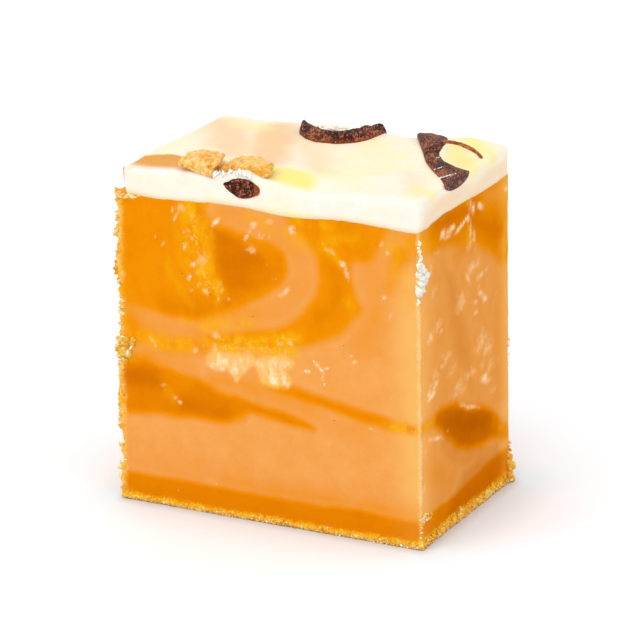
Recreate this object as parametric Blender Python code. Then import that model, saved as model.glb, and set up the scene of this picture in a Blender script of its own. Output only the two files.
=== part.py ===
"""A cut square of layered fudge under white chocolate, with dark chocolate swirls and toffee pieces set in its top.

Metres, +Z up. The origin is the centre of the flat underside. The broad cut face looks along -Y and the narrow one
along +X. Every layer runs through the whole piece, from one cut face to the other.
"""

import math

import bmesh
import bpy
from mathutils import Vector, noise

MM = 0.001

# Driving sizes of the block.
WIDTH = 40.0 * MM  # along X
DEPTH = 26.5 * MM  # along Y
RIM_HEIGHT = 43.0 * MM  # of the white chocolate's upper edge
SIDE_LEAN = 0.02  # how far the +X cut face leans inwards for each metre of height
LEFT_INSET = 0.2 * MM  # of the -X cut face where it doesn't swell
LEFT_SWELLS = ((33.0 * MM, 6.0 * MM, 0.5 * MM), (14.0 * MM, 7.0 * MM, 0.4 * MM))  # height, reach, bulge
CUT_EDGE = 0.6 * MM  # rounding of the upright edges
TOP_EDGE = 0.9 * MM  # rounding of the topping's upper edge
FOOT_EDGE = 0.5 * MM  # rounding round the underside
ROUND_SHARE = 0.3  # of a rounding's size that a single corner point moves in by
GAP = 0.3 * MM  # left between solids that touch

# The layers' boundaries, at the front left corner.
BASE_HEIGHT = 3.5 * MM
PEACH_HEIGHT = 12.0 * MM
ICING_HEIGHT = 39.3 * MM

# How the boundaries run from there.
BASE_RISE = 1.2 * MM  # towards the back of the narrow face
PEACH_RISE = 2.0 * MM  # towards the right along the broad face
PEACH_DROP_LEFT = 2.5 * MM  # from front to back along the left side
PEACH_DROP_RIGHT = 8.0 * MM  # from front to back along the narrow face
ICING_RISE = 0.6 * MM
BOUNDARY_WAVE = 0.25 * MM
CALM_SHARE = 0.4  # of that wave in the base's top and the topping's
WAVE_LENGTH = 17.0 * MM
WAVE_STRETCH = 0.7  # how many waves run along Y for each along X

# Swells and dips of the poured top: centre x, centre y, radius, height.
TOP_SWELLS = (
    (-4.3 * MM, -13.0 * MM, 2.6 * MM, 0.9 * MM),
    (6.0 * MM, -12.5 * MM, 4.5 * MM, -0.9 * MM),
    (14.5 * MM, 10.0 * MM, 5.0 * MM, 1.3 * MM),
    (-3.0 * MM, 9.0 * MM, 6.0 * MM, 0.6 * MM),
    (-18.0 * MM, -11.0 * MM, 4.0 * MM, -0.4 * MM),
)

# Grid of a layer: the cells across, along and up.
CELLS_X, CELLS_Y = 24, 16
CELLS_UP = 2
CELLS_UP_TALL = 8
AT_FACE = 0.999  # a unit grid point at least this far out lies on a face

CARAMEL = (0.85, 0.24, 0.01)
DEEP_CARAMEL = (0.72, 0.18, 0.01)
PEACH = (0.92, 0.38, 0.08)
WHITE_CHOCOLATE = (0.95, 0.88, 0.68)
DARK_CHOCOLATE = (0.07, 0.022, 0.012)
TOFFEE = (0.80, 0.38, 0.07)


def clear_scene():
    for obj in list(bpy.data.objects):
        bpy.data.objects.remove(obj, do_unlink=True)


def material(name, colour, roughness):
    mat = bpy.data.materials.new(name)
    mat.use_nodes = True
    shader = mat.node_tree.nodes["Principled BSDF"]
    shader.inputs["Base Color"].default_value = (*colour, 1.0)
    shader.inputs["Roughness"].default_value = roughness
    shader.inputs["Metallic"].default_value = 0.0
    return mat


def smooth(t):
    t = min(1.0, max(0.0, t))
    return t * t * (3.0 - 2.0 * t)


def rightward(x):
    """0 at the left face and 1 at the right one."""
    return x / WIDTH + 0.5


def backward(y):
    """0 at the broad front face and 1 at the back."""
    return y / DEPTH + 0.5


def wave(x, y, phase):
    turn = 2.0 * math.pi / WAVE_LENGTH
    return BOUNDARY_WAVE * math.sin(turn * x + phase) * math.cos(WAVE_STRETCH * turn * y + phase)


def base_top(x, y):
    rise = BASE_RISE * smooth(backward(y)) * (0.5 + 0.5 * rightward(x))
    return BASE_HEIGHT + rise + CALM_SHARE * wave(x, y, 0.6)


def peach_top(x, y):
    drop = PEACH_DROP_LEFT + (PEACH_DROP_RIGHT - PEACH_DROP_LEFT) * rightward(x)
    return PEACH_HEIGHT + PEACH_RISE * smooth(rightward(x)) - drop * smooth(backward(y)) + wave(x, y, 2.1)


def icing_bottom(x, y):
    return ICING_HEIGHT + ICING_RISE * rightward(x) * smooth(backward(y)) + wave(x, y, 4.0)


def icing_top(x, y):
    height = RIM_HEIGHT + CALM_SHARE * wave(x, y, 1.3)
    for centre_x, centre_y, radius, rise in TOP_SWELLS:
        far = ((x - centre_x) ** 2 + (y - centre_y) ** 2) / radius**2
        height += rise * math.exp(-far)
    return height


def right_face(z):
    """X of the leaning +X cut face at height z."""
    return WIDTH / 2 - SIDE_LEAN * z


def left_face(z):
    """X of the -X cut face at height z, where the soft fudge swells under the stiffer white chocolate."""
    bulge = sum(swell * math.exp(-(((z - height) / reach) ** 2)) for height, reach, swell in LEFT_SWELLS)
    return -WIDTH / 2 + LEFT_INSET - bulge


def spread(share, low, high, edge):
    """A grid line's place, with the outermost cell as wide as the rounded edge."""
    cell = 2.0 / CELLS_X
    inner = max(-1.0, min(1.0, share / (1.0 - cell)))
    if abs(share) > 1.0 - cell / 2:
        return high if share > 0 else low
    middle, half = (low + high) / 2, (high - low) / 2 - edge
    return middle + half * inner


def block_grid(cells_up):
    """A box of grid cells with corners at -1 and 1 along X and Y, and at 0 and 1 along Z."""
    bm = bmesh.new()
    bmesh.ops.create_grid(bm, x_segments=CELLS_X, y_segments=CELLS_Y, size=1.0)
    raised = bmesh.ops.extrude_face_region(bm, geom=bm.faces[:])["geom"]
    top = [part for part in raised if isinstance(part, bmesh.types.BMVert)]
    bmesh.ops.translate(bm, verts=top, vec=(0.0, 0.0, 1.0))
    upright = [e for e in bm.edges if abs(e.verts[0].co.z - e.verts[1].co.z) > 0.5]
    bmesh.ops.subdivide_edges(bm, edges=upright, cuts=cells_up - 1, use_grid_fill=True)
    bmesh.ops.recalc_face_normals(bm, faces=bm.faces[:])
    return bm


def place_in_layer(corner, floor, ceiling, rounded_foot, rounded_top):
    """Bends a point of the unit grid into its layer."""
    u, v, w = corner
    x = spread(u, left_face(RIM_HEIGHT / 2), right_face(RIM_HEIGHT / 2), CUT_EDGE)
    y = spread(v, -DEPTH / 2, DEPTH / 2, CUT_EDGE)
    low, high = floor(x, y), ceiling(x, y)
    z = low + (high - low) * w
    inset = 0.0
    on_side = abs(u) > AT_FACE or abs(v) > AT_FACE
    if on_side and rounded_top and w > AT_FACE:
        z -= ROUND_SHARE * rounded_top
        inset = ROUND_SHARE * rounded_top
    elif on_side and rounded_top and w > 0.5 / CELLS_UP:
        z = high - rounded_top
    if on_side and rounded_foot and w < 1.0 - AT_FACE:
        inset = rounded_foot
    elif on_side and rounded_foot and w < 1.0 - 0.5 / CELLS_UP:
        z = low + rounded_foot
    x = spread(u, left_face(z) + inset, right_face(z) - inset, CUT_EDGE)
    y = spread(v, -DEPTH / 2 + inset, DEPTH / 2 - inset, CUT_EDGE)
    if abs(u) > AT_FACE and abs(v) > AT_FACE:
        x -= math.copysign(ROUND_SHARE * CUT_EDGE, u)
        y -= math.copysign(ROUND_SHARE * CUT_EDGE, v)
    return Vector((x, y, z))


def new_object(name, bm, mat):
    mesh = bpy.data.meshes.new(name)
    bm.to_mesh(mesh)
    bm.free()
    mesh.shade_smooth()
    mesh.set_sharp_from_angle(angle=math.radians(35.0))
    obj = bpy.data.objects.new(name, mesh)
    bpy.context.scene.collection.objects.link(obj)
    if mat:
        mesh.materials.append(mat)
    return obj


def layer(name, floor, ceiling, mat, cells_up=CELLS_UP, rounded_foot=0.0, rounded_top=0.0):
    bm = block_grid(cells_up)
    for vert in bm.verts:
        vert.co = place_in_layer(vert.co, floor, ceiling, rounded_foot, rounded_top)
    return new_object(name, bm, mat)


def helper(obj):
    obj.hide_render = True
    obj.display_type = "WIRE"
    return obj


def cutting_block():
    """The block's own outline, taller than anything on it, that trims a topping flush with the cut faces."""
    bm = bmesh.new()
    bmesh.ops.create_cube(bm, size=1.0)
    for vert in bm.verts:
        z = 2.0 * RIM_HEIGHT * (vert.co.z + 0.5)
        x = right_face(z) if vert.co.x > 0 else -WIDTH / 2
        vert.co = Vector((x, math.copysign(DEPTH / 2, vert.co.y), z))
    return helper(new_object("cutting_block", bm, None))


def boolean(obj, operation, other):
    cut = obj.modifiers.new(f"{operation.lower()}_{other.name}", "BOOLEAN")
    cut.operation = operation
    cut.solver = "EXACT"
    cut.object = other


SECTION_SIDES = 10
STROKE_STEPS = 3  # points between two of a stroke's control points


def eased(points):
    """A smooth run of (x, y, width) through a stroke's control points."""
    ends = [points[0], *points, points[-1]]
    run = []
    for index in range(1, len(ends) - 2):
        a, b, c, d = (Vector(p) for p in ends[index - 1 : index + 3])
        for step in range(STROKE_STEPS):
            t = step / STROKE_STEPS
            run.append(
                0.5 * (2 * b + (c - a) * t + (2 * a - 5 * b + 4 * c - d) * t**2 + (3 * b - a - 3 * c + d) * t**3))
    return [*run, Vector(points[-1])]


def stroke_bar(points, proud, sunk, grow):
    """A ribbon of set chocolate half sunk in the topping, with an oval section as wide as each point says."""
    run = eased(points)
    bm = bmesh.new()
    rings = []
    for index, (x, y, width) in enumerate(run):
        along = run[min(len(run) - 1, index + 1)].xy - run[max(0, index - 1)].xy
        across = Vector((-along.y, along.x)).normalized()
        surface = icing_top(x, y)
        ring = []
        for side in range(SECTION_SIDES):
            angle = 2.0 * math.pi * side / SECTION_SIDES
            offset = across * (width / 2 + grow) * math.cos(angle)
            rise = (proud if math.sin(angle) > 0 else sunk) + grow
            ring.append(bm.verts.new((x + offset.x, y + offset.y, surface + rise * math.sin(angle))))
        rings.append(ring)
    for first, second in zip(rings, rings[1:]):
        for side in range(SECTION_SIDES):
            after = (side + 1) % SECTION_SIDES
            bm.faces.new((first[side], first[after], second[after], second[side]))
    bm.faces.new(reversed(rings[0]))
    bm.faces.new(rings[-1])
    bmesh.ops.recalc_face_normals(bm, faces=bm.faces[:])
    return bm


LUMP_DETAIL = 2
LUMP_ROUGHNESS = 0.28
LUMP_FREQUENCY = 1.7  # of that roughness over a ball of radius 1


def lump(centre, size, seed, grow):
    """An uneven broken piece: a ball pushed in and out by noise, stretched to its size."""
    bm = bmesh.new()
    bmesh.ops.create_icosphere(bm, subdivisions=LUMP_DETAIL, radius=1.0)
    for vert in bm.verts:
        direction = vert.co.normalized()
        push = 1.0 + LUMP_ROUGHNESS * noise.noise(direction * LUMP_FREQUENCY + Vector((seed, 0.0, 0.0)))
        reach = Vector(size) * 0.5 * push
        vert.co = Vector(centre) + Vector([d * (r + grow) for d, r in zip(direction, reach)])
    bmesh.ops.recalc_face_normals(bm, faces=bm.faces[:])
    return bm


def inlaid(name, shape, icing, block, mat):
    """A topping trimmed flush with the cut faces, and its pocket in the white chocolate."""
    piece = new_object(name, shape(0.0), mat)
    boolean(piece, "INTERSECT", block)
    pocket = helper(new_object(f"{name}_pocket", shape(GAP), None))
    boolean(icing, "DIFFERENCE", pocket)
    return piece


def in_mm(*points):
    return [tuple(value * MM for value in point) for point in points]


# Each swirl of dark chocolate: its control points (x, y, width), how far it stands proud and how deep it is sunk.
SWIRLS = {
    "chocolate_curl_back": (
        in_mm(
            (-6.5, 9.8, 1.3), (-5.2, 7.1, 2.1), (-3.2, 5.8, 2.6), (-1.1, 5.9, 3.0), (0.5, 7.4, 3.0), (1.3, 9.6, 2.5),
            (1.8, 11.6, 1.9), (2.1, 12.9, 1.2)),
        0.8 * MM, 1.0 * MM),
    "chocolate_curl_right": (
        in_mm(
            (8.0, 13.9, 1.8), (10.2, 10.3, 3.0), (12.2, 6.5, 2.8), (13.9, 3.3, 2.5), (15.6, 0.7, 2.7),
            (17.3, -1.4, 3.1), (19.4, -3.5, 4.2), (21.2, -5.4, 4.6)),
        0.6 * MM, 1.3 * MM),
}

# Broken pieces: centre on the top, height of the centre above it, size along X, Y and Z, and a seed for the shape.
LUMPS = {
    "toffee_left": (in_mm((-10.9, -10.6))[0], 0.2 * MM, in_mm((5.6, 4.6, 3.4))[0], 3.0),
    "toffee_right": (in_mm((-4.5, -9.9))[0], 0.3 * MM, in_mm((5.2, 4.2, 2.4))[0], 8.0),
}
CHUNK_CENTRE = in_mm((-3.8, -13.2, 41.75))[0]
CHUNK_SIZE = in_mm((4.9, 4.0, 2.5))[0]
CHUNK_SEED = 5.0


def build():
    clear_scene()
    caramel = material("caramel fudge", CARAMEL, 0.45)
    deep = material("caramel base", DEEP_CARAMEL, 0.5)
    peach = material("vanilla fudge", PEACH, 0.42)
    white = material("white chocolate", WHITE_CHOCOLATE, 0.35)
    dark = material("dark chocolate", DARK_CHOCOLATE, 0.4)
    toffee = material("toffee", TOFFEE, 0.5)

    layer("fudge_base", lambda x, y: 0.0, base_top, deep, rounded_foot=FOOT_EDGE)
    layer("fudge_peach", lambda x, y: base_top(x, y) + GAP, peach_top, peach)
    layer("fudge_marbled", lambda x, y: peach_top(x, y) + GAP, icing_bottom, caramel, cells_up=CELLS_UP_TALL)
    icing = layer(
        "icing", lambda x, y: icing_bottom(x, y) + GAP, icing_top, white, rounded_top=TOP_EDGE)

    block = cutting_block()
    for name, (points, proud, sunk) in SWIRLS.items():
        inlaid(name, lambda grow: stroke_bar(points, proud, sunk, grow), icing, block, dark)
    for name, ((x, y), lift, size, seed) in LUMPS.items():
        centre = (x, y, icing_top(x, y) + lift)
        inlaid(name, lambda grow: lump(centre, size, seed, grow), icing, block, toffee)
    inlaid(
        "chocolate_chunk", lambda grow: lump(CHUNK_CENTRE, CHUNK_SIZE, CHUNK_SEED, grow), icing, block, dark)


build()
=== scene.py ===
"""Looks for the fudge square: marbled caramel and vanilla fudge under white chocolate with dark chocolate swirls."""

import itertools
import math
import random

import bmesh
import bpy
import numpy as np
from mathutils import Matrix, Vector


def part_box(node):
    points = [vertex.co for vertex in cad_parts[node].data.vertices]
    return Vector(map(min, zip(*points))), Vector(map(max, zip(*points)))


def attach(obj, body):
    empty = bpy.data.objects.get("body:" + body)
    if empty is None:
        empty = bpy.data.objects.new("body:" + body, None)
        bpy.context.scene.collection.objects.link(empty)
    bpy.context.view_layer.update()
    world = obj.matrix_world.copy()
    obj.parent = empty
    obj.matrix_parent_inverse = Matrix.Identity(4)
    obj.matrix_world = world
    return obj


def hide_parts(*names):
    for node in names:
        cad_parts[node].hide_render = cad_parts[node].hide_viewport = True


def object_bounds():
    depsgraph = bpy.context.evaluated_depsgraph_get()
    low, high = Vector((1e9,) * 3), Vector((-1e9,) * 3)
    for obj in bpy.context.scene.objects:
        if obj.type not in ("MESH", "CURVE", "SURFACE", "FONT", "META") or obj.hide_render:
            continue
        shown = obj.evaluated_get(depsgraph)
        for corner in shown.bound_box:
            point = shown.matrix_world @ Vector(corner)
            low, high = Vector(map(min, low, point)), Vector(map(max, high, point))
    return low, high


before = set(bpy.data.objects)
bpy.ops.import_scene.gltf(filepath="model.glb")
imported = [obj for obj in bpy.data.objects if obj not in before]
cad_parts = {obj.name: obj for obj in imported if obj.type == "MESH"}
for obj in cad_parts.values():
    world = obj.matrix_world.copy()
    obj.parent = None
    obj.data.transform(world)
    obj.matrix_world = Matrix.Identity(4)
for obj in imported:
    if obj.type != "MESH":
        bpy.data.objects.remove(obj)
CAD_LOW, CAD_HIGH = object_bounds()

MM = 0.001

# ---------------------------------------------------------------------------------------------------------------
# The block's own sizes, as its solids have them.
# ---------------------------------------------------------------------------------------------------------------

BASE_LOW, BASE_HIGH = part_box("fudge_base")
HALF_WIDTH = BASE_HIGH.x
HALF_DEPTH = BASE_HIGH.y
RIM_HEIGHT = 43.0 * MM
SIDE_LEAN = 0.02
ICING_HEIGHT = 39.3 * MM
ICING_RISE = 0.6 * MM
BOUNDARY_WAVE = 0.25 * MM
CALM_SHARE = 0.4
WAVE_LENGTH = 17.0 * MM
WAVE_STRETCH = 0.7
TOP_SWELLS = (
    (-4.3 * MM, -13.0 * MM, 2.6 * MM, 0.9 * MM),
    (6.0 * MM, -12.5 * MM, 4.5 * MM, -0.9 * MM),
    (14.5 * MM, 10.0 * MM, 5.0 * MM, 1.3 * MM),
    (-3.0 * MM, 9.0 * MM, 6.0 * MM, 0.6 * MM),
    (-18.0 * MM, -11.0 * MM, 4.0 * MM, -0.4 * MM),
)

# The soft left edge, where the knife left the fudge ragged: how far it reaches from the middle at each height.
LEFT_HEIGHTS = np.array(
    [0.0, 1.2, 2.9, 4.7, 8.1, 9.6, 13.8, 15.7, 17.7, 19.3, 20.7, 22.7, 26.5, 28.3, 29.8, 31.5, 34.4, 36.2, 37.3, 38.9,
     39.6]) * MM
LEFT_REACHES = np.array(
    [20.4, 20.9, 21.0, 20.7, 20.8, 21.1, 21.0, 21.05, 20.8, 21.1, 20.95, 20.6, 20.7, 21.0, 21.2, 21.15, 21.0, 21.15,
     20.95, 21.1, 20.9]) * MM
LEFT_LIMIT = -21.38 * MM

CUT_EDGE = 0.35 * MM
TOP_EDGE = 0.6 * MM
FOOT_EDGE = 0.25 * MM
SPREAD_LIMIT = 1.1 * MM  # nothing stands further than this out of the solids

# ---------------------------------------------------------------------------------------------------------------
# Small tools: smooth steps, noise, runs through control points.
# ---------------------------------------------------------------------------------------------------------------


def smoothstep(low, high, value):
    t = np.clip((value - low) / (high - low), 0.0, 1.0)
    return t * t * (3.0 - 2.0 * t)


def lattice_noise(points, size, seed):
    """Smooth noise from -1 to 1 over an array of points, with features about this size."""
    cell = points / size + 11.7 * seed
    corner = np.floor(cell).astype(np.int64)
    t = cell - corner
    t = t * t * (3.0 - 2.0 * t)
    total = np.zeros(len(points))
    for step in itertools.product((0, 1), repeat=3):
        mixed = ((corner + step) * (73856093, 19349663, 83492791)).sum(axis=1) + seed * 2654435761
        mixed = (mixed ^ (mixed >> 13)) * 1274126177 & 0x7FFFFFFF
        mixed = (mixed ^ (mixed >> 15)) & 0xFFFF
        weight = np.prod(np.where(step, t, 1.0 - t), axis=1)
        total += weight * (mixed / 32767.5 - 1.0)
    return total


def rough_noise(points, size, seed, octaves=3):
    """Noise of several sizes, each half as large and half as strong as the last."""
    return sum(0.5**n * lattice_noise(points, size * 0.5**n, seed + n) for n in range(octaves))


def smooth_run(points, steps=6):
    """Points along a smooth curve through the control points."""
    points = np.array(points, float)
    ends = np.vstack([points[:1], points, points[-1:]])
    run = []
    for a, b, c, d in zip(ends, ends[1:], ends[2:], ends[3:]):
        for t in np.arange(steps) / steps:
            run.append(
                0.5 * (2 * b + (c - a) * t + (2 * a - 5 * b + 4 * c - d) * t**2 + (3 * b - a - 3 * c + d) * t**3))
    return np.array([*run, points[-1]])


def stroke_mask(flat, stroke, soft):
    """1 inside a stroke of varying half width and 0 outside it. flat (n, 2) and the stroke's points are in mm."""
    run = smooth_run(stroke)
    depth = np.full(len(flat), -1e9)
    for start, end in zip(run, run[1:]):
        along = end[:2] - start[:2]
        length = max(along @ along, 1e-9)
        share = np.clip((flat - start[:2]) @ along / length, 0.0, 1.0)
        near = start[:2] + share[:, None] * along
        half = start[2] + share * (end[2] - start[2])
        depth = np.maximum(depth, half - np.linalg.norm(flat - near, axis=1))
    return smoothstep(-soft, soft, depth)


def patch_mask(flat, corners, soft):
    """1 inside a rounded closed outline and 0 outside it."""
    run = smooth_run((*corners, corners[0]), 5)
    away = np.full(len(flat), 1e9)
    inside = np.zeros(len(flat), bool)
    for start, end in zip(run, run[1:]):
        along = end - start
        share = np.clip((flat - start) @ along / max(along @ along, 1e-9), 0.0, 1.0)
        away = np.minimum(away, np.linalg.norm(flat - start - share[:, None] * along, axis=1))
        spans = (start[1] > flat[:, 1]) != (end[1] > flat[:, 1])
        rise = along[1] if along[1] else 1e-9
        inside ^= spans & (flat[:, 0] < start[0] + (flat[:, 1] - start[1]) * along[0] / rise)
    return smoothstep(-soft, soft, np.where(inside, away, -away))


def shape_mask(flat, shape, soft):
    """A shape is a stroke if its points carry a half width, and a closed outline if they don't."""
    return stroke_mask(flat, shape, soft) if len(shape[0]) == 3 else patch_mask(flat, shape, soft)


def spot_mask(flat, spots, swell):
    """Soft oval spots: (across, height, length, width, slant in degrees, amount), all this much larger than listed."""
    value = np.zeros(len(flat))
    for across, height, length, width, slant, amount in spots:
        turn = math.radians(slant)
        from_centre = flat - (across, height)
        along = from_centre @ (math.cos(turn), math.sin(turn)) / (swell * length / 2.0)
        aside = from_centre @ (-math.sin(turn), math.cos(turn)) / (swell * width / 2.0)
        value = np.maximum(value, amount * np.exp(-(along**2 + aside**2)))
    return value


# ---------------------------------------------------------------------------------------------------------------
# The block's faces and the layers' boundaries.
# ---------------------------------------------------------------------------------------------------------------


def wave(x, y, phase):
    turn = 2.0 * math.pi / WAVE_LENGTH
    return BOUNDARY_WAVE * np.sin(turn * x + phase) * np.cos(WAVE_STRETCH * turn * y + phase)


def icing_bottom(x, y):
    backward = smoothstep(-HALF_DEPTH, HALF_DEPTH, y)
    return ICING_HEIGHT + ICING_RISE * (x / HALF_WIDTH + 1.0) / 2.0 * backward + wave(x, y, 4.0)


def icing_top(x, y):
    height = RIM_HEIGHT + CALM_SHARE * wave(x, y, 1.3)
    for centre_x, centre_y, radius, rise in TOP_SWELLS:
        height = height + rise * np.exp(-((x - centre_x) ** 2 + (y - centre_y) ** 2) / radius**2)
    return height


def right_face(z):
    return HALF_WIDTH - SIDE_LEAN * z


def left_face(z):
    return -np.interp(z, LEFT_HEIGHTS, LEFT_REACHES)


def icing_left_face(z):
    """The stiffer white chocolate was cut cleaner, and its lower edge is drawn in a little."""
    return -HALF_WIDTH + 0.35 * MM * (1.0 - smoothstep(39.5 * MM, 42.0 * MM, z))


# ---------------------------------------------------------------------------------------------------------------
# Walls: a unit sleeve of rows, bent to the block's outline.
# ---------------------------------------------------------------------------------------------------------------


def unit_sleeve(across, along, rows, lid):
    """A closed box of unit cells: co.x and co.y run from -1 to 1, and co.z is 0 at the lid and -row on the walls."""
    bm = bmesh.new()
    bmesh.ops.create_grid(bm, x_segments=across, y_segments=along, size=1.0)
    if not lid:
        bmesh.ops.dissolve_faces(bm, faces=bm.faces[:])
    ring = [edge for edge in bm.edges if edge.is_boundary]
    for _ in range(rows):
        made = bmesh.ops.extrude_edge_only(bm, edges=ring)["geom"]
        lower = [part for part in made if isinstance(part, bmesh.types.BMVert)]
        bmesh.ops.translate(bm, verts=lower, vec=(0.0, 0.0, -1.0))
        fresh = set(lower)
        ring = [
            part for part in made if isinstance(part, bmesh.types.BMEdge) and fresh.issuperset(part.verts)]
    bmesh.ops.edgeloop_fill(bm, edges=ring)
    bmesh.ops.recalc_face_normals(bm, faces=bm.faces[:])
    return bm


GATHERING = 0.75  # 0 spaces the columns evenly, and nearer 1 gathers them at the corners
AT_FACE = 0.9999  # a unit point at least this far out lies on a wall


def gathered(share):
    quarter = math.pi / 2.0 * GATHERING
    return np.sin(share * quarter) / math.sin(quarter)


def outline(u, v, z, inset, left_wall):
    """Places (x, y) for sleeve coordinates u and v at height z, and how much each looks along x and y."""
    left, right = left_wall(z) + inset, right_face(z) - inset
    half_x, half_y = (right - left) / 2.0, HALF_DEPTH - inset
    x, y = half_x * gathered(u), half_y * gathered(v)
    over_x, over_y = np.abs(x) - (half_x - CUT_EDGE), np.abs(y) - (half_y - CUT_EDGE)
    in_corner = (over_x > 0) & (over_y > 0) & (np.maximum(np.abs(u), np.abs(v)) > AT_FACE)
    reach = np.where(in_corner, np.hypot(over_x, over_y), 1.0)
    look_x = np.where(in_corner, over_x / reach, np.abs(u) > AT_FACE) * np.sign(u)
    look_y = np.where(in_corner, over_y / reach, np.abs(v) > AT_FACE) * np.sign(v)
    x = np.where(in_corner, np.sign(x) * (half_x - CUT_EDGE + over_x * CUT_EDGE / reach), x)
    y = np.where(in_corner, np.sign(y) * (half_y - CUT_EDGE + over_y * CUT_EDGE / reach), y)
    return x + (left + right) / 2.0, y, look_x, look_y


def points_of(mesh):
    co = np.empty(len(mesh.vertices) * 3)
    mesh.vertices.foreach_get("co", co)
    return co.reshape(-1, 3)


def set_points(mesh, points):
    mesh.vertices.foreach_set("co", points.ravel())
    mesh.update()


def mesh_object(name, bm):
    mesh = bpy.data.meshes.new(name)
    bm.to_mesh(mesh)
    bm.free()
    mesh.shade_smooth()
    obj = bpy.data.objects.new(name, mesh)
    bpy.context.scene.collection.objects.link(obj)
    return obj


def set_mask(obj, name, values):
    layer = obj.data.attributes.new(name, "FLOAT", "POINT")
    layer.data.foreach_set("value", np.ascontiguousarray(values, np.float32))


def hand_in(obj, slot_name, mat, *stands_for):
    """Gives a finished piece its material and its body, and hides the nodes that it stands for; slot_name is not used.
    """
    obj.data.materials.clear()
    obj.data.materials.append(mat)
    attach(obj, "root")
    if stands_for:
        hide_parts(*stands_for)


# ---------------------------------------------------------------------------------------------------------------
# Marbling. Each shape: amount, softness, and points in mm. Three numbers a point make a stroke (across, height,
# half width), two make a closed outline. Across runs left to right as the face is looked at.
# Tone 0 is pale vanilla, 1 caramel and 2 the darkest caramel.
# ---------------------------------------------------------------------------------------------------------------

VANILLA_TONE = 0.10
EDGE_SOFTNESS = 1.45  # how much softer than drawn the boundaries of the two fudges are
BASE_TONE = 1.22

INNER_CARAMEL = (
    (-4, 41), (-4, 25.6), (0, 25.4), (3, 25.0), (6, 24.7), (9, 24.8), (12, 25.5), (15, 26.8), (18, 28.3), (20.5, 30.1),
    (21.9, 32.0), (21.8, 33.8), (20.4, 35.2), (17.5, 36.1), (14.5, 36.6), (12.3, 37.2), (11.2, 38.3), (10.4, 41))
OUTER_CARAMEL = (
    (21.0, 41), (22.2, 38.6), (23.4, 37.0), (25.2, 35.6), (26.2, 33.8), (26.3, 31.8), (25.8, 29.8), (24.6, 27.9),
    (22.8, 26.4), (20.6, 25.1), (17, 24.2), (13.5, 23.5), (11.5, 22.8), (12.0, 21.9), (15, 22.0), (19, 22.3),
    (22.5, 23.0), (25.2, 23.6), (28, 25.0), (30.3, 26.8), (31.9, 28.9), (31.0, 31.0), (30.6, 33.4), (31.0, 35.0),
    (32.8, 35.2), (34.0, 36.6), (34.6, 41))
DEEP_CORE = (
    (12.4, 36.3), (12.7, 33), (13.4, 30), (14.6, 28.4), (17, 29.0), (19, 30.5), (19.6, 32.4), (18.6, 34.3), (16, 35.5),
    (14, 36.2))
DARK_WEDGE = (
    (-3, 18.0), (0, 18.1), (2.5, 18.3), (5, 17.6), (8, 17.2), (10.5, 16.9), (13, 16.0), (16, 15.3), (16.8, 14.2),
    (16.2, 13.0), (14, 12.3), (10, 12.2), (6, 12.1), (2.5, 11.4), (-3, 11.4))
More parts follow.
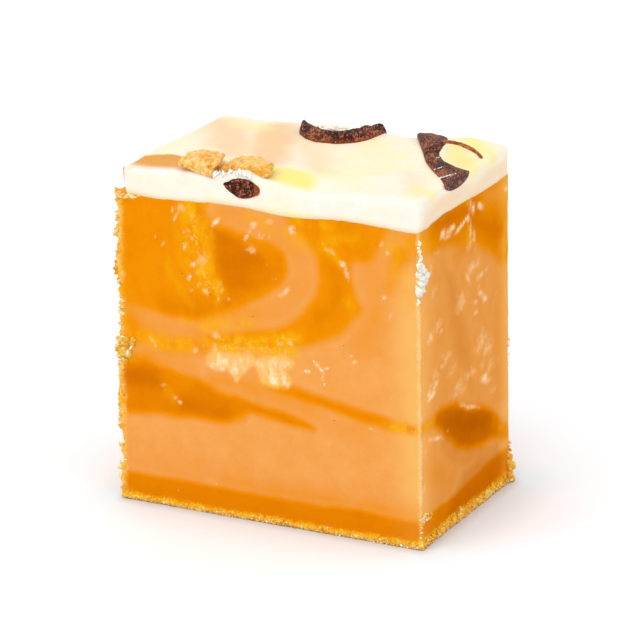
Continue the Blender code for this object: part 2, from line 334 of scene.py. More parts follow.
FRONT_TONES = (
    (0.30, 1.6, ((22, 41), (22.5, 37.5), (27, 36.5), (33, 35.6), (36, 36.2), (42, 36.0), (42, 41))),
    (0.55, 1.6, ((-3, 25.6, 1.0), (1, 25.0, 1.2), (3, 23.4, 1.2))),
    (0.40, 1.8, ((32.6, 35.0, 0.8), (34.0, 32.0, 1.2), (33.8, 28.0, 1.2), (32.0, 24.6, 0.8))),
    (0.40, 1.4, ((-2, 19.2, 0.8), (5, 18.6, 0.9), (9.0, 18.4, 0.7))),
    (0.30, 1.6, ((18, 15.6, 0.6), (24, 15.0, 0.8), (31, 13.6, 0.8))),
    (0.24, 1.6, ((-2, 5.2, 1.2), (20, 4.6, 1.2), (40, 4.6, 1.0))),
    (0.98, 0.55, INNER_CARAMEL),
    (0.30, 0.6, ((3.0, 23.6, 0.6), (6, 23.5, 0.9), (10, 23.8, 1.0), (14, 24.9, 1.1), (18, 26.4, 1.2), (21.5, 28.2, 1.3),
                 (23.8, 30.6, 1.4), (24.2, 33.0, 1.4), (23.2, 35.2, 1.4), (21, 36.9, 1.3), (17.5, 37.9, 1.3),
                 (13.5, 38.4, 1.2))),
    (0.98, 0.6, OUTER_CARAMEL),
    (0.75, 0.9, ((-3, 22.2), (1, 22.6), (4, 22.2), (8, 22.3), (12.5, 22.5), (13, 21.4), (10, 20.2), (6, 20.0), (2, 20.6),
                 (-3, 20.8))),
    (0.95, 0.9, ((-2, 23.8, 1.0), (0.6, 23.2, 0.9), (1.6, 21.8, 0.8))),
    (1.60, 0.9, DEEP_CORE),
    (1.35, 1.1, ((5.5, 26.0, 0.6), (9, 26.0, 0.9), (12.5, 26.6, 0.8), (15.5, 28.2, 0.8))),
    (1.25, 1.0, ((18.5, 31.4, 0.9), (20.4, 32.8, 0.9), (19.6, 34.6, 0.7))),
    (1.35, 1.2, ((26.4, 27.0, 0.9), (28.0, 28.6, 1.3), (28.8, 31.0, 0.9), (28.0, 33.6, 0.6))),
    (1.15, 1.0, ((28.8, 38.8, 0.9), (30.5, 38.0, 1.5), (32.0, 37.0, 1.3))),
    (0.80, 0.9, ((0.5, 18.8, 0.6), (3.4, 18.8, 0.4))),
    (0.55, 0.9, ((12, 17.4, 0.6), (16, 17.2, 0.7), (20, 17.0, 0.6), (25, 16.4, 0.3))),
    (1.30, 0.6, DARK_WEDGE),
    (1.75, 1.0, ((-2, 16.2, 1.2), (1.5, 16.4, 1.2), (4.4, 15.8, 0.9))),
    (1.65, 0.9, ((8.6, 13.6, 0.8), (11, 13.5, 0.9), (13.6, 13.6, 0.8))),
    (0.95, 0.9, ((5.6, 16.6, 0.5), (7.2, 16.2, 0.6), (9.0, 16.4, 0.3))),
    (1.25, 0.45, ((15, 14.7, 0.7), (18, 14.5, 0.6), (21, 14.0, 0.6), (23.4, 13.4, 0.5), (25.6, 13.0, 0.15))),
    (1.10, 0.45, ((19.6, 17.7, 0.2), (22, 17.6, 0.5), (26, 16.9, 0.6), (30, 16.1, 0.65), (33.5, 15.4, 0.7),
                  (37, 15.2, 0.65), (41, 15.1, 0.6))),
    (0.85, 0.7, ((36.9, 36.4, 0.8), (36.3, 34.2, 0.8), (35.4, 32.0, 0.4))),
    (0.75, 0.9, ((41, 38.4, 1.2), (38.8, 38.0, 1.0), (37.4, 36.6, 0.5))),
    (0.50, 0.8, ((14, 4.6, 0.3), (22, 4.4, 0.5), (32, 4.4, 0.5), (40, 4.4, 0.4))),
)
FRONT_GOLD = (
    (0.14, 1.6, INNER_CARAMEL),
    (0.14, 1.4, OUTER_CARAMEL),
    (0.75, 2.0, ((7.6, 41), (7.2, 38), (7.6, 34), (8.0, 31), (8.8, 28.6), (11, 26.8), (14.2, 26.8), (14.9, 29.0),
                 (13.6, 31.4), (12.9, 34), (12.4, 37), (11.2, 41))),
    (1.0, 1.0, ((8.6, 40, 0.7), (9.6, 36.5, 0.9), (10.2, 33, 0.8), (11.0, 30.4, 1.0), (12.6, 28.6, 0.9))),
    (0.6, 1.0, ((5.6, 34.6, 0.3), (6.0, 31.0, 0.5), (7.6, 28.4, 0.6), (9.4, 26.4, 0.7))),
    (1.0, 1.0, ((11.8, 21.5, 0.5), (15.0, 21.8, 0.9), (19.0, 22.0, 0.9), (22.8, 22.6, 0.8))),
    (0.95, 0.9, ((12.8, 22.8, 0.5), (15.5, 22.6, 0.9), (18.5, 23.0, 0.7), (21.8, 24.0, 1.0), (23.6, 24.4, 0.5))),
    (0.75, 0.8, ((0.6, 21.6, 0.8), (4, 21.2, 0.9), (7.0, 21.2, 1.0), (11.0, 21.6, 0.9))),
    (0.8, 0.5, ((18.6, 18.2, 0.4), (20.4, 18.0, 0.5), (21.8, 18.0, 0.4))),
    (0.85, 0.6, ((26.4, 36.6, 0.4), (27.8, 35.6, 0.5), (29.4, 34.2, 0.4))),
    (0.65, 0.8, ((30.2, 29.6, 0.8), (31.2, 28.6, 0.7))),
    (1.0, 0.6, ((35.0, 15.1, 0.2), (37.4, 15.0, 0.6), (41, 15.0, 0.75))),
    (0.7, 0.5, ((16.9, 34.8, 0.5), (17.8, 34.0, 0.5))),
    (0.7, 0.5, ((5.0, 15.4, 0.4), (6.6, 14.2, 0.6), (7.8, 13.8, 0.3))),
    (0.7, 0.4, ((20.5, 31.2, 0.35), (20.2, 30.8, 0.3))),
    (0.75, 1.0, ((21.4, 39.2, 0.8), (24, 38.9, 0.9), (27.6, 38.6, 0.7))),
    (0.60, 1.2, ((17.4, 38.2, 0.7), (21.0, 37.6, 0.8), (25.0, 36.4, 0.9), (28.0, 36.8, 1.0), (31.0, 37.4, 0.9))),
    (0.55, 1.2, ((34.4, 37.4, 1.0), (38.0, 37.8, 1.2), (41.0, 37.4, 1.0))),
    (0.45, 1.6, ((37.0, 33.6, 1.2), (38.6, 30.0, 0.8))),
    (0.60, 1.0, ((8.2, 24.4, 0.6), (11.0, 24.2, 0.9), (14.6, 24.6, 0.9), (17.6, 25.4, 0.7))),
    (0.5, 0.8, ((36.8, 36.2, 0.5), (36.0, 33.0, 0.4))),
    (0.5, 0.9, ((-0.6, 39, 0.5), (-0.2, 31, 0.6), (-0.2, 26, 0.5), (0.2, 19, 0.6), (-0.4, 12, 0.5))),
)
FRONT_SUGAR = (
    (1.0, 0.8, ((11.0, 19.2), (11.3, 20.6), (12.4, 21.3), (15, 21.0), (17, 21.1), (18.2, 20.7), (19.4, 21.1),
                 (21.4, 21.8), (22.8, 21.3), (22.7, 20.6), (21.9, 20.0), (22.6, 19.0), (22.4, 18.0), (20.4, 17.6),
                 (18.9, 17.8), (18.2, 18.9), (17.6, 19.7), (16.6, 19.2), (15.3, 17.6), (14.4, 18.7), (12.9, 18.7))),
)
FRONT_SPOTS = (
    (12.5, 23.1, 0.9, 0.7, 0, 0.7), (21.2, 23.2, 0.8, 0.5, 30, 0.6), (22.6, 23.5, 0.9, 0.5, -20, 0.6),
    (12.6, 37.2, 1.2, 0.5, 50, 1.1), (17.7, 37.6, 0.9, 0.6, 40, 0.9), (17.2, 36.9, 0.9, 0.4, 60, 0.7),
    (16.7, 35.9, 1.0, 0.35, 55, 0.8), (18.4, 36.5, 0.6, 0.3, 80, 0.6), (19.1, 36.5, 0.5, 0.3, 70, 0.6),
    (19.8, 36.3, 0.6, 0.3, 90, 0.6), (18.6, 36.0, 0.7, 0.3, 10, 0.5), (19.8, 38.2, 1.0, 0.7, 0, 0.5),
    (22.8, 37.8, 0.7, 0.5, 30, 1.0), (22.9, 37.3, 0.8, 0.35, 0, 0.9), (17.3, 34.4, 1.4, 1.0, 20, 0.5),
    (19.5, 33.0, 0.35, 0.35, 0, 0.5), (20.5, 31.2, 0.6, 0.4, 30, 0.45), (21.9, 29.8, 1.2, 0.6, 55, 1.0),
    (21.3, 29.3, 0.9, 0.5, 20, 0.5), (6.8, 38.0, 0.7, 0.3, 80, 0.6), (7.2, 37.2, 1.1, 0.35, 65, 0.6),
    (8.0, 38.4, 1.3, 1.0, 0, 0.45), (9.5, 37.6, 1.6, 0.5, 85, 0.3), (9.0, 35.7, 0.5, 0.4, 0, 0.5),
    (8.3, 35.4, 0.5, 0.3, 60, 0.4), (4.3, 34.4, 0.4, 0.4, 0, 0.55), (5.4, 33.5, 0.7, 0.4, 65, 0.45),
    (8.4, 33.7, 0.8, 0.35, 80, 0.85), (9.4, 34.8, 0.5, 0.4, 0, 0.6), (10.9, 32.4, 1.8, 1.3, 40, 0.42),
    (9.5, 31.6, 0.6, 0.45, 30, 1.1), (9.0, 29.9, 0.8, 0.4, 70, 1.1), (9.3, 28.3, 0.5, 0.4, 0, 0.6),
    (10.3, 29.2, 0.7, 0.4, 50, 0.5), (11.2, 28.4, 0.9, 0.6, -30, 0.7), (11.3, 29.2, 0.5, 0.3, 0, 0.5),
    (13.2, 29.7, 0.8, 0.4, 80, 0.45), (13.4, 28.8, 0.9, 0.4, 70, 0.5), (13.0, 27.8, 0.8, 0.3, 75, 0.6),
    (14.3, 27.9, 0.4, 0.3, 0, 0.6), (10.2, 30.6, 1.0, 0.5, 50, 0.35), (7.4, 35.0, 0.4, 0.3, 0, 0.3),
    (29.5, 34.2, 0.9, 0.6, -50, 0.9), (29.9, 33.2, 1.6, 0.6, -65, 0.7), (28.2, 35.5, 1.0, 0.4, -40, 0.5),
    (27.2, 35.8, 0.8, 0.3, -40, 0.45), (34.5, 37.4, 0.7, 0.35, 60, 0.7), (35.3, 36.4, 0.4, 0.35, 0, 1.0),
    (34.9, 30.9, 0.45, 0.4, 0, 0.9), (35.7, 28.7, 0.9, 0.5, 80, 0.4), (31.0, 22.3, 0.6, 0.4, 30, 0.8),
    (30.6, 23.0, 0.35, 0.3, 0, 0.7), (37.7, 21.8, 0.9, 0.6, 70, 0.35), (36.0, 18.7, 0.9, 0.5, 60, 0.35),
    (26.0, 21.4, 1.1, 0.3, -45, 1.0), (26.7, 20.7, 0.8, 0.35, -50, 1.1), (27.4, 21.0, 0.6, 0.3, 20, 0.8),
    (26.9, 19.8, 1.2, 0.3, 85, 0.8), (27.0, 18.9, 0.6, 0.35, 90, 0.8), (24.8, 20.3, 0.6, 0.4, 0, 1.1),
    (3.8, 21.2, 1.2, 0.35, -30, 0.55), (4.3, 20.6, 0.6, 0.35, 60, 0.6), (9.7, 20.8, 0.9, 0.6, 60, 0.7),
    (9.4, 21.4, 0.5, 0.4, 0, 0.5), (6.8, 14.3, 1.0, 0.6, -40, 0.4), (7.5, 13.7, 0.6, 0.4, 0, 0.6),
    (5.2, 15.6, 0.7, 0.4, 0, 0.4), (33.2, 14.3, 0.5, 0.3, 0, 0.4), (17.0, 12.9, 0.7, 0.5, 50, 0.35),
    (6.0, 9.4, 1.1, 0.5, 40, 0.2), (18.3, 10.8, 0.6, 0.4, 0, 0.25), (27.8, 11.6, 1.4, 0.9, 40, 0.2),
    (38.9, 38.2, 0.3, 0.8, 0, 0.6), (32.4, 3.9, 0.6, 0.3, 0, 0.3),
    (12.0, 19.1, 0.9, 0.5, -10, 1.1), (13.4, 18.9, 0.9, 0.5, -15, 1.0), (14.7, 18.6, 0.9, 0.6, -45, 1.2),
    (15.3, 17.9, 0.5, 0.9, 0, 0.8), (16.4, 19.4, 0.9, 0.6, 40, 0.9), (21.4, 20.8, 1.0, 0.6, 20, 1.0),
    (22.2, 18.2, 0.5, 0.5, 0, 1.0), (19.2, 19.0, 0.9, 0.5, 70, 0.7), (20.4, 21.2, 1.0, 0.4, 60, 0.7),
    (12.4, 21.4, 0.5, 1.2, 0, 0.6), (17.0, 21.2, 0.5, 1.2, -10, 0.6), (14.2, 20.4, 0.5, 1.0, 10, 0.7),
)
SIDE_TOP = ((-3, 42), (-3, 36.4), (2, 36.3), (6, 36.0), (10, 35.2), (13, 33.9), (16, 33.6), (19, 32.3), (22, 30.4),
            (25, 28.8), (30, 28.2), (30, 42))
SIDE_BLOB = (
    (4.6, 15.7), (7, 15.9), (9.6, 15.5), (11.5, 14.6), (14.5, 13.5), (17.6, 12.5), (20, 11.4), (22.4, 9.8), (24.6, 8.0),
    (30, 5.8), (30, 5.0), (25.6, 6.1), (23, 6.9), (20, 7.6), (17, 7.9), (14, 8.3), (12, 9.1), (10, 10.3), (8, 11.7),
    (6.2, 13.0), (4.4, 14.2))
SIDE_TONES = (
    (1.0, 0.7, SIDE_TOP),
    (1.55, 1.0, ((5, 38.8, 0.8), (9, 38.6, 1.1), (13, 38.4, 1.0), (17, 38.0, 0.9), (16.2, 36.6, 0.6))),
    (0.45, 1.0, ((19.5, 38.6, 1.0), (22, 38.4, 1.3), (26, 38.2, 1.2))),
    (1.45, 0.8, ((15.5, 36.9, 0.3), (18, 35.6, 0.9), (21, 34.4, 1.3), (24, 33.2, 1.5))),
    (0.85, 1.2, ((24.5, 31.5, 1.0), (27, 33, 1.6))),
    (0.55, 1.2, ((11, 33.8, 0.5), (13.6, 34.2, 0.6), (16, 34.0, 0.5))),
    (0.30, 1.4, ((23.8, 26, 1.4), (24.4, 20, 1.4), (24.0, 13.5, 1.2))),
    (1.0, 0.5, ((5.6, 15.2, 0.6), (3.0, 14.9, 0.6), (0.5, 15.0, 0.7), (-2, 15.0, 0.7))),
    (1.75, 0.6, SIDE_BLOB),
    (2.0, 1.2, ((8.5, 13.8, 1.0), (12, 12.2, 1.5), (16, 11.0, 1.3), (19, 10.0, 0.9))),
    (1.15, 0.8, ((21.8, 9.2, 0.7), (24, 7.8, 0.7), (28, 6.2, 0.7))),
    (0.35, 1.2, ((2, 9.5, 1.4), (5, 8.0, 1.4), (9, 6.4, 1.0))),
)
# Painted shade on the side face: where these strokes lie, the caramel is darkened and browned as if less light reached
# there.
SIDE_SHADE = (
    (0.8, 3.0, ((7, 33, 1.0), (9, 30, 2.0), (11, 24, 3.0), (13.5, 20, 2.2), (15, 15.5, 1.4))),
    (1.0, 1.8, ((8.5, 0.5, 2.6), (13, 2.5, 3.6), (18, 3.4, 3.4), (22, 3, 2.2))),
    (0.8, 1.2, ((7, 11.5, 1.6), (11, 8.4, 1.6), (17, 6.6, 1.4), (22, 5.6, 1.2))),
    (0.6, 1.2, ((11, 13.0, 1.8), (16, 11.2, 1.6))),
)
SIDE_GOLD = (
    (0.12, 1.2, SIDE_TOP),
    (0.7, 1.0, ((25.6, 35, 0.8), (25.6, 30.5, 1.2), (25.8, 28.6, 0.5))),
    (0.9, 0.6, ((14.2, 39.2, 0.5), (15.0, 38.0, 0.5), (14.6, 36.4, 0.4), (14.0, 34.6, 0.6), (15.4, 34.2, 0.5))),
    (0.8, 0.7, ((23.4, 7.8, 0.4), (25.4, 6.8, 0.5), (28, 6.0, 0.6))),
    (0.7, 0.9, ((0.2, 37.6, 0.8), (3.4, 36.8, 0.5))),
    (0.8, 0.5, ((-1, 15.2, 0.4), (1.5, 15.0, 0.4), (4.0, 15.0, 0.2))),
    (0.6, 1.0, ((25.6, 3.8, 0.6), (26.0, 1.0, 0.8))),
)
SIDE_SUGAR = ()
SIDE_SPOTS = (
    (6.8, 37.4, 0.9, 0.6, 20, 0.9), (8.4, 37.3, 1.6, 0.5, -10, 0.6), (9.6, 37.5, 0.9, 0.4, 0, 1.0),
    (7.8, 36.8, 1.8, 0.4, -10, 0.5), (11.8, 36.9, 1.8, 0.35, 15, 0.9), (13.4, 37.3, 1.3, 0.3, 25, 0.9),
    (14.3, 37.3, 0.5, 0.5, 0, 0.9), (15.0, 38.8, 1.4, 0.6, 80, 0.4), (15.9, 38.2, 0.6, 0.9, 0, 0.6),
    (15.0, 35.4, 0.5, 1.8, 0, 0.5), (15.9, 34.4, 0.7, 1.6, 10, 0.45), (14.2, 33.8, 0.9, 0.9, 0, 0.35),
    (17.8, 38.0, 0.9, 0.45, -20, 0.9), (18.4, 37.7, 0.7, 0.4, -20, 0.5), (15.8, 30.9, 2.4, 0.9, 0, 0.5),
    (14.1, 30.1, 1.4, 0.5, -50, 0.6), (14.0, 31.2, 1.0, 0.5, 20, 0.3), (17.8, 29.3, 1.2, 0.5, 10, 0.6),
    (19.6, 29.6, 0.9, 0.4, 20, 0.35), (17.9, 27.0, 1.0, 0.5, -20, 0.7), (17.3, 28.0, 0.6, 0.4, 0, 0.4),
    (18.9, 26.0, 1.0, 0.5, -10, 0.7), (16.2, 26.4, 0.9, 0.4, -10, 0.5), (16.3, 25.0, 1.0, 0.4, 0, 0.5),
    (13.6, 28.2, 1.4, 0.6, 0, 0.3), (11.8, 27.4, 1.8, 1.4, 30, 0.5), (11.0, 28.6, 1.0, 0.7, 0, 0.25),
    (3.1, 25.6, 1.0, 0.8, 20, 0.55), (5.2, 26.5, 2.0, 0.9, 15, 0.35), (6.2, 25.6, 0.8, 0.5, 0, 0.4),
    (7.8, 22.0, 1.6, 0.7, 15, 0.45), (6.6, 21.3, 1.4, 0.5, 10, 0.45), (6.4, 22.5, 0.7, 0.4, 0, 0.3),
    (4.2, 20.4, 2.0, 1.4, 30, 0.35), (3.4, 18.4, 1.6, 0.4, 15, 0.9), (2.6, 18.8, 0.6, 0.5, 0, 0.7),
    (4.4, 19.4, 1.4, 0.5, 20, 0.5), (8.6, 19.6, 1.4, 0.5, 10, 0.25), (9.8, 20.0, 1.6, 0.8, 20, 0.3),
    (10.8, 17.0, 2.2, 1.0, 30, 0.4), (12.4, 16.4, 1.8, 0.8, 10, 0.3), (14.4, 17.8, 2.4, 1.0, 0, 0.4),
    (12.6, 14.3, 2.0, 0.4, -25, 0.4), (15.0, 13.4, 2.2, 0.35, -15, 0.6), (16.9, 12.8, 1.0, 0.3, -20, 0.4),
    (17.8, 20.8, 2.2, 1.4, 20, 0.45), (19.8, 19.6, 2.0, 1.4, 0, 0.4), (18.4, 18.0, 1.6, 0.8, 20, 0.35),
    (20.6, 17.0, 1.6, 0.9, 30, 0.35), (18.9, 15.9, 1.4, 0.7, -10, 0.8), (19.8, 15.3, 1.0, 0.5, -10, 0.6),
    (18.6, 22.4, 1.2, 0.5, 20, 0.25), (21.6, 13.6, 2.2, 0.8, 0, 0.25), (22.8, 16.8, 1.6, 0.9, 20, 0.2),
    (3.0, 13.0, 1.2, 0.35, -20, 0.5), (4.9, 12.6, 1.6, 0.35, -15, 0.7), (7.8, 12.6, 0.6, 0.4, 0, 0.3),
    (6.4, 12.0, 0.9, 0.3, -20, 0.3), (1.0, 7.6, 0.9, 0.4, 60, 0.4), (1.2, 12.0, 0.6, 0.4, 30, 0.3),
    (4.0, 31.0, 1.8, 0.7, 40, 0.3), (5.0, 35.6, 1.4, 0.4, 0, 0.3), (3.2, 34.0, 1.4, 0.8, 60, 0.3),
    (22.2, 25.4, 1.6, 0.6, 60, 0.2), (25.6, 38.2, 0.8, 0.5, 0, 0.5),
)
BACK_TONES = (
    (0.95, 0.9, ((3, 38), (2, 31), (7, 27.4), (14, 26.4), (21, 28), (24.5, 32), (23, 36.4), (16, 38), (9, 38.6))),
    (0.95, 0.9, ((-2, 24, 1.4), (8, 21.6, 1.7), (19, 22, 2.0), (28, 25.6, 2.3), (31.5, 31, 2.2), (29, 37, 1.6))),
    (1.55, 1.1, ((11, 33.5, 1.6), (16, 31.0, 2.3), (20, 31.5, 1.4))),
    (1.4, 0.8, ((-2, 6.6, 1.0), (6, 8.6, 1.8), (13, 9.8, 1.9), (20, 10.2, 1.2), (26, 10.0, 0.6))),
    (1.2, 0.5, ((12, 14.2, 0.3), (20, 13.6, 0.6), (30, 12.2, 0.7), (42, 11.4, 0.6))),
    (0.9, 1.2, ((-2, 34, 2.4), (1.5, 33, 1.2))),
)
BACK_GOLD = (
    (0.9, 1.0, ((14, 22.6, 0.9), (18, 22.4, 1.1), (23, 22.8, 1.1), (26, 23.4, 1.0))),
    (0.8, 0.9, ((26, 38, 0.8), (27.4, 34.5, 1.4), (26.8, 31.5, 1.2))),
)
BACK_SUGAR = (
    (1.0, 0.5, ((13, 20.8), (16, 21.6), (20, 21.4), (25, 21.8), (27, 20.6), (25.4, 19.2), (23.6, 19.4), (21.4, 18.2),
                (19.6, 19.4), (16.8, 18.4), (14.6, 19.4))),
)
BACK_SPOTS = (
    (26.4, 33.0, 1.2, 0.6, 60, 0.9), (27.0, 30.6, 0.8, 0.5, 20, 0.9), (9.0, 25.4, 1.0, 0.5, 30, 0.6),
    (31.0, 17.0, 1.4, 0.5, -50, 0.9), (6.0, 15.0, 0.8, 0.5, 0, 0.5), (34.0, 8.0, 0.8, 0.5, 40, 0.4),
    (18.0, 36.8, 1.0, 0.5, 20, 0.8), (12.0, 29.4, 0.9, 0.5, 60, 0.7),
)
LEFT_TONES = (
    (1.0, 1.0, ((-3, 41), (-3, 29), (4, 28), (10, 28.6), (15, 30), (17.6, 33.4), (16, 37), (12, 41))),
    (0.95, 1.0, ((-2, 24, 1.5), (7, 22.4, 1.8), (15, 23.5, 2.0), (22, 27, 2.0), (28, 31, 2.6))),
    (1.3, 0.8, ((-2, 10.5, 1.6), (6, 12.0, 2.0), (14, 13.6, 2.2), (21, 14.8, 2.3), (28, 15.2, 2.5))),
)
LEFT_GOLD = (
    (0.8, 1.0, ((5, 22.4, 0.8), (9, 22.2, 1.2), (13, 22.6, 1.0))),
    (0.7, 1.0, ((10, 37, 0.8), (11.4, 33.5, 1.2), (10.6, 31, 1.0))),
)
LEFT_SUGAR = (
    (0.9, 0.6, ((4, 19.6), (6, 20.8), (10, 20.6), (13.6, 21.2), (14.4, 19.8), (12, 18.6), (9, 19.0), (6.4, 18.2))),
)
LEFT_SPOTS = (
    (18.0, 8.0, 1.0, 0.5, 30, 0.5), (22.0, 20.4, 1.2, 0.6, -30, 0.6), (8.0, 34.0, 0.9, 0.5, 50, 0.7),
    (3.0, 15.0, 0.8, 0.5, 0, 0.6), (19.0, 30.0, 1.0, 0.5, 20, 0.6),
)


def base_boundary(points):
    """Height of the top of the base, which rises towards the back of the narrow face."""
    x, y = points[:, 0], points[:, 1]
    rise = 1.2 * MM * smoothstep(-HALF_DEPTH, HALF_DEPTH, y) * (0.5 + 0.5 * (x / HALF_WIDTH + 1.0) / 2.0)
    return 3.5 * MM + rise + 0.15 * MM * rough_noise(points, 5.0 * MM, 31)


def painted(flat, shapes, start):
    """Shapes laid one over another on a face."""
    value = np.full(len(flat), float(start))
    for amount, soft, shape in shapes:
        value += (amount - value) * shape_mask(flat, shape, EDGE_SOFTNESS * soft)
    return value


def strongest(flat, shapes):
    value = np.zeros(len(flat))
    for amount, soft, shape in shapes:
        value = np.maximum(value, amount * shape_mask(flat, shape, soft))
    return value


def face_views(points):
    """For each cut face: the points as that face shows them (mm across, mm up) and how much each belongs to it."""
    x, y, z = points.T
    front = np.column_stack([x + HALF_WIDTH, z]) / MM
    side = np.column_stack([y + HALF_DEPTH, z]) / MM
    back = np.column_stack([HALF_WIDTH - x, z]) / MM
    left = np.column_stack([HALF_DEPTH - y, z]) / MM
    depths = (y + HALF_DEPTH, x - right_face(z), y - HALF_DEPTH, x - left_face(z))
    nearness = [np.exp(-3.0 * np.abs(depth) / (0.8 * MM)) + 1e-12 for depth in depths]
    total = sum(nearness)
    return list(zip((front, side, back, left), [near / total for near in nearness]))


PATTERNS = (
    (FRONT_TONES, FRONT_GOLD, FRONT_SUGAR, FRONT_SPOTS, ()),
    (SIDE_TONES, SIDE_GOLD, SIDE_SUGAR, SIDE_SPOTS, SIDE_SHADE),
    (BACK_TONES, BACK_GOLD, BACK_SUGAR, BACK_SPOTS, ()),
    (LEFT_TONES, LEFT_GOLD, LEFT_SUGAR, LEFT_SPOTS, ()),
)


def marble(obj):
    """Writes the fudge's tone, gold, sugar, spots, painted shade, painted edge glow and highlight, pale left edge and
    crumbly foot as masks on its points.
    """
    points = points_of(obj.data)
    drift = np.column_stack([rough_noise(points, 3.0 * MM, seed) for seed in (3, 5)]) * 0.22
    tone, gold, sugar, spots, shade = (np.zeros(len(points)) for _ in range(5))
    for (flat, share), (tones, golds, sugars, places, shades) in zip(face_views(points), PATTERNS):
        used = share > 0.02
        place = flat[used] + drift[used]
        tone[used] += share[used] * painted(place, tones, VANILLA_TONE)
        gold[used] += share[used] * strongest(place, golds)
        sugar[used] += share[used] * strongest(place, sugars)
        swell, gain = (1.8, 1.7) if places is SIDE_SPOTS else (1.25, 1.2)
        spots[used] += share[used] * gain * spot_mask(flat[used], places, swell)
        shade[used] += share[used] * strongest(place, shades)
    above_base = smoothstep(-0.45 * MM, 0.55 * MM, points[:, 2] - base_boundary(points))
    tone = BASE_TONE + (tone - BASE_TONE) * above_base
    set_mask(obj, "tone", tone)
    set_mask(obj, "gold", gold * above_base)
    set_mask(obj, "sugar", sugar * above_base)
    set_mask(obj, "spots", spots * above_base)
    x, y, z = points.T
    from_right, from_front, from_back = right_face(z) - x, y + HALF_DEPTH, HALF_DEPTH - y
    on_side = 1.0 - smoothstep(0.0, 0.6 * MM, from_right)
    middle = smoothstep(0.5 * MM, 6.0 * MM, from_front) * smoothstep(0.5 * MM, 4.5 * MM, from_back)
    # shade: painted shade on the side face, from the strokes above and across its middle away from the upright edges.
    set_mask(obj, "shade", np.maximum(shade, 0.42 * on_side * middle))

    wobble = 0.25 * MM * rough_noise(points, 1.5 * MM, 35)
    on_front = 1.0 - smoothstep(0.1 * MM, 0.5 * MM, from_front)
    # glow: painted light near the upright edges, as if light came through the fudge there: on the front beside the near
    # edge, and on the side near its front and back edges.
    glow_front = (1.0 - smoothstep(0.5 * MM, 5.0 * MM, from_right)) * on_front * (1.0 - smoothstep(33, 36, z / MM))
    at_sides = 1.0 - smoothstep(0.5 * MM, 4.5 * MM, np.minimum(from_front, from_back))
    glow_side = 0.45 * at_sides * on_side * (1.0 - on_front)
    above_foot = smoothstep(4.0 * MM, 8.0 * MM, z)
    on_pale = (1.0 - 0.75 * smoothstep(0.7, 1.3, tone)) * (1.0 - 0.8 * gold)
    set_mask(obj, "glow", np.maximum(glow_front * (0.35 + 0.65 * above_foot), glow_side) * on_pale)
    # rim: a painted highlight along the near upright edge, and a fainter one along the far upright edge.
    near_edge = 1.0 - smoothstep(0.0, 0.34 * MM, np.hypot(from_right, from_front) - 0.10 * MM + 0.4 * wobble)
    far_edge = 0.6 * (1.0 - smoothstep(0.05 * MM, 0.7 * MM, np.hypot(from_right, y - HALF_DEPTH) + wobble))
    set_mask(obj, "rim", np.maximum(near_edge, far_edge))
    left_edge = 1.0 - smoothstep(-0.7 * MM, 0.3 * MM, x + HALF_WIDTH + wobble)
    set_mask(obj, "left", left_edge * (1.0 - smoothstep(0.5 * MM, 2.0 * MM, from_front)))
    foot = 1.0 - smoothstep(0.0, (2.0 + 1.0 * on_side) * MM, z + 0.8 * wobble)
    set_mask(obj, "foot", foot)


# ---------------------------------------------------------------------------------------------------------------
# Fudge block and white chocolate.
# ---------------------------------------------------------------------------------------------------------------

BLOCK_ACROSS, BLOCK_ALONG, BLOCK_ROWS = 168, 110, 168
ICING_ACROSS, ICING_ALONG, ICING_ROWS = 190, 128, 18


def row_places(row, rows, low, high, foot, brow, brow_rows=3, foot_rows=4):
    """Height and inset of each sleeve row between low and high, with a rounded foot and brow."""
    from_brow = np.clip(row / brow_rows, 0.0, 1.0) * math.pi / 2.0
    from_foot = np.clip((rows - row) / foot_rows, 0.0, 1.0) * math.pi / 2.0
    share = np.clip((row - brow_rows) / (rows - brow_rows - foot_rows), 0.0, 1.0)
    z = (high - brow) + share * ((low + foot) - (high - brow))
    z = np.where(row < brow_rows, high - brow * (1.0 - np.cos(from_brow)), z)
    z = np.where(row > rows - foot_rows, low + foot * (1.0 - np.cos(from_foot)), z)
    inset = np.where(row < brow_rows, brow * (1.0 - np.sin(from_brow)), 0.0)
    inset = np.where(row > rows - foot_rows, foot * (1.0 - np.sin(from_foot)), inset)
    return z, inset


def cut_relief(points, look_x, look_y):
    """How far the cut fudge stands out: near flat in front, dragged by the knife at the side, crumbly at edges."""
    x, y, z = points.T
    relief = 0.06 * MM * rough_noise(points, 7.0 * MM, 41) + 0.012 * MM * rough_noise(points, 1.1 * MM, 44)
    slant = np.column_stack([x, y * 0.5 + z * 0.35, z * 0.8 - y * 0.3])
    relief += 0.06 * MM * rough_noise(slant, 1.6 * MM, 47) * smoothstep(0.5, 1.0, look_x)
    ragged = 1.0 - smoothstep(0.0, 1.3 * MM, x - left_face(z))
    relief += 0.26 * MM * ragged * rough_noise(points * (1.0, 1.0, 1.4), 1.1 * MM, 51)
    low = 1.0 - smoothstep(0.4 * MM, 1.2 * MM, z)
    relief += low * (0.10 * MM + 0.16 * MM * rough_noise(points, 1.1 * MM, 55))
    from_corner = np.hypot(right_face(z) - x, y + HALF_DEPTH)
    near_edge = 1.0 - smoothstep(0.2 * MM, 0.9 * MM, from_corner)
    relief += 0.10 * MM * near_edge * rough_noise(points, 1.0 * MM, 57)
    return relief


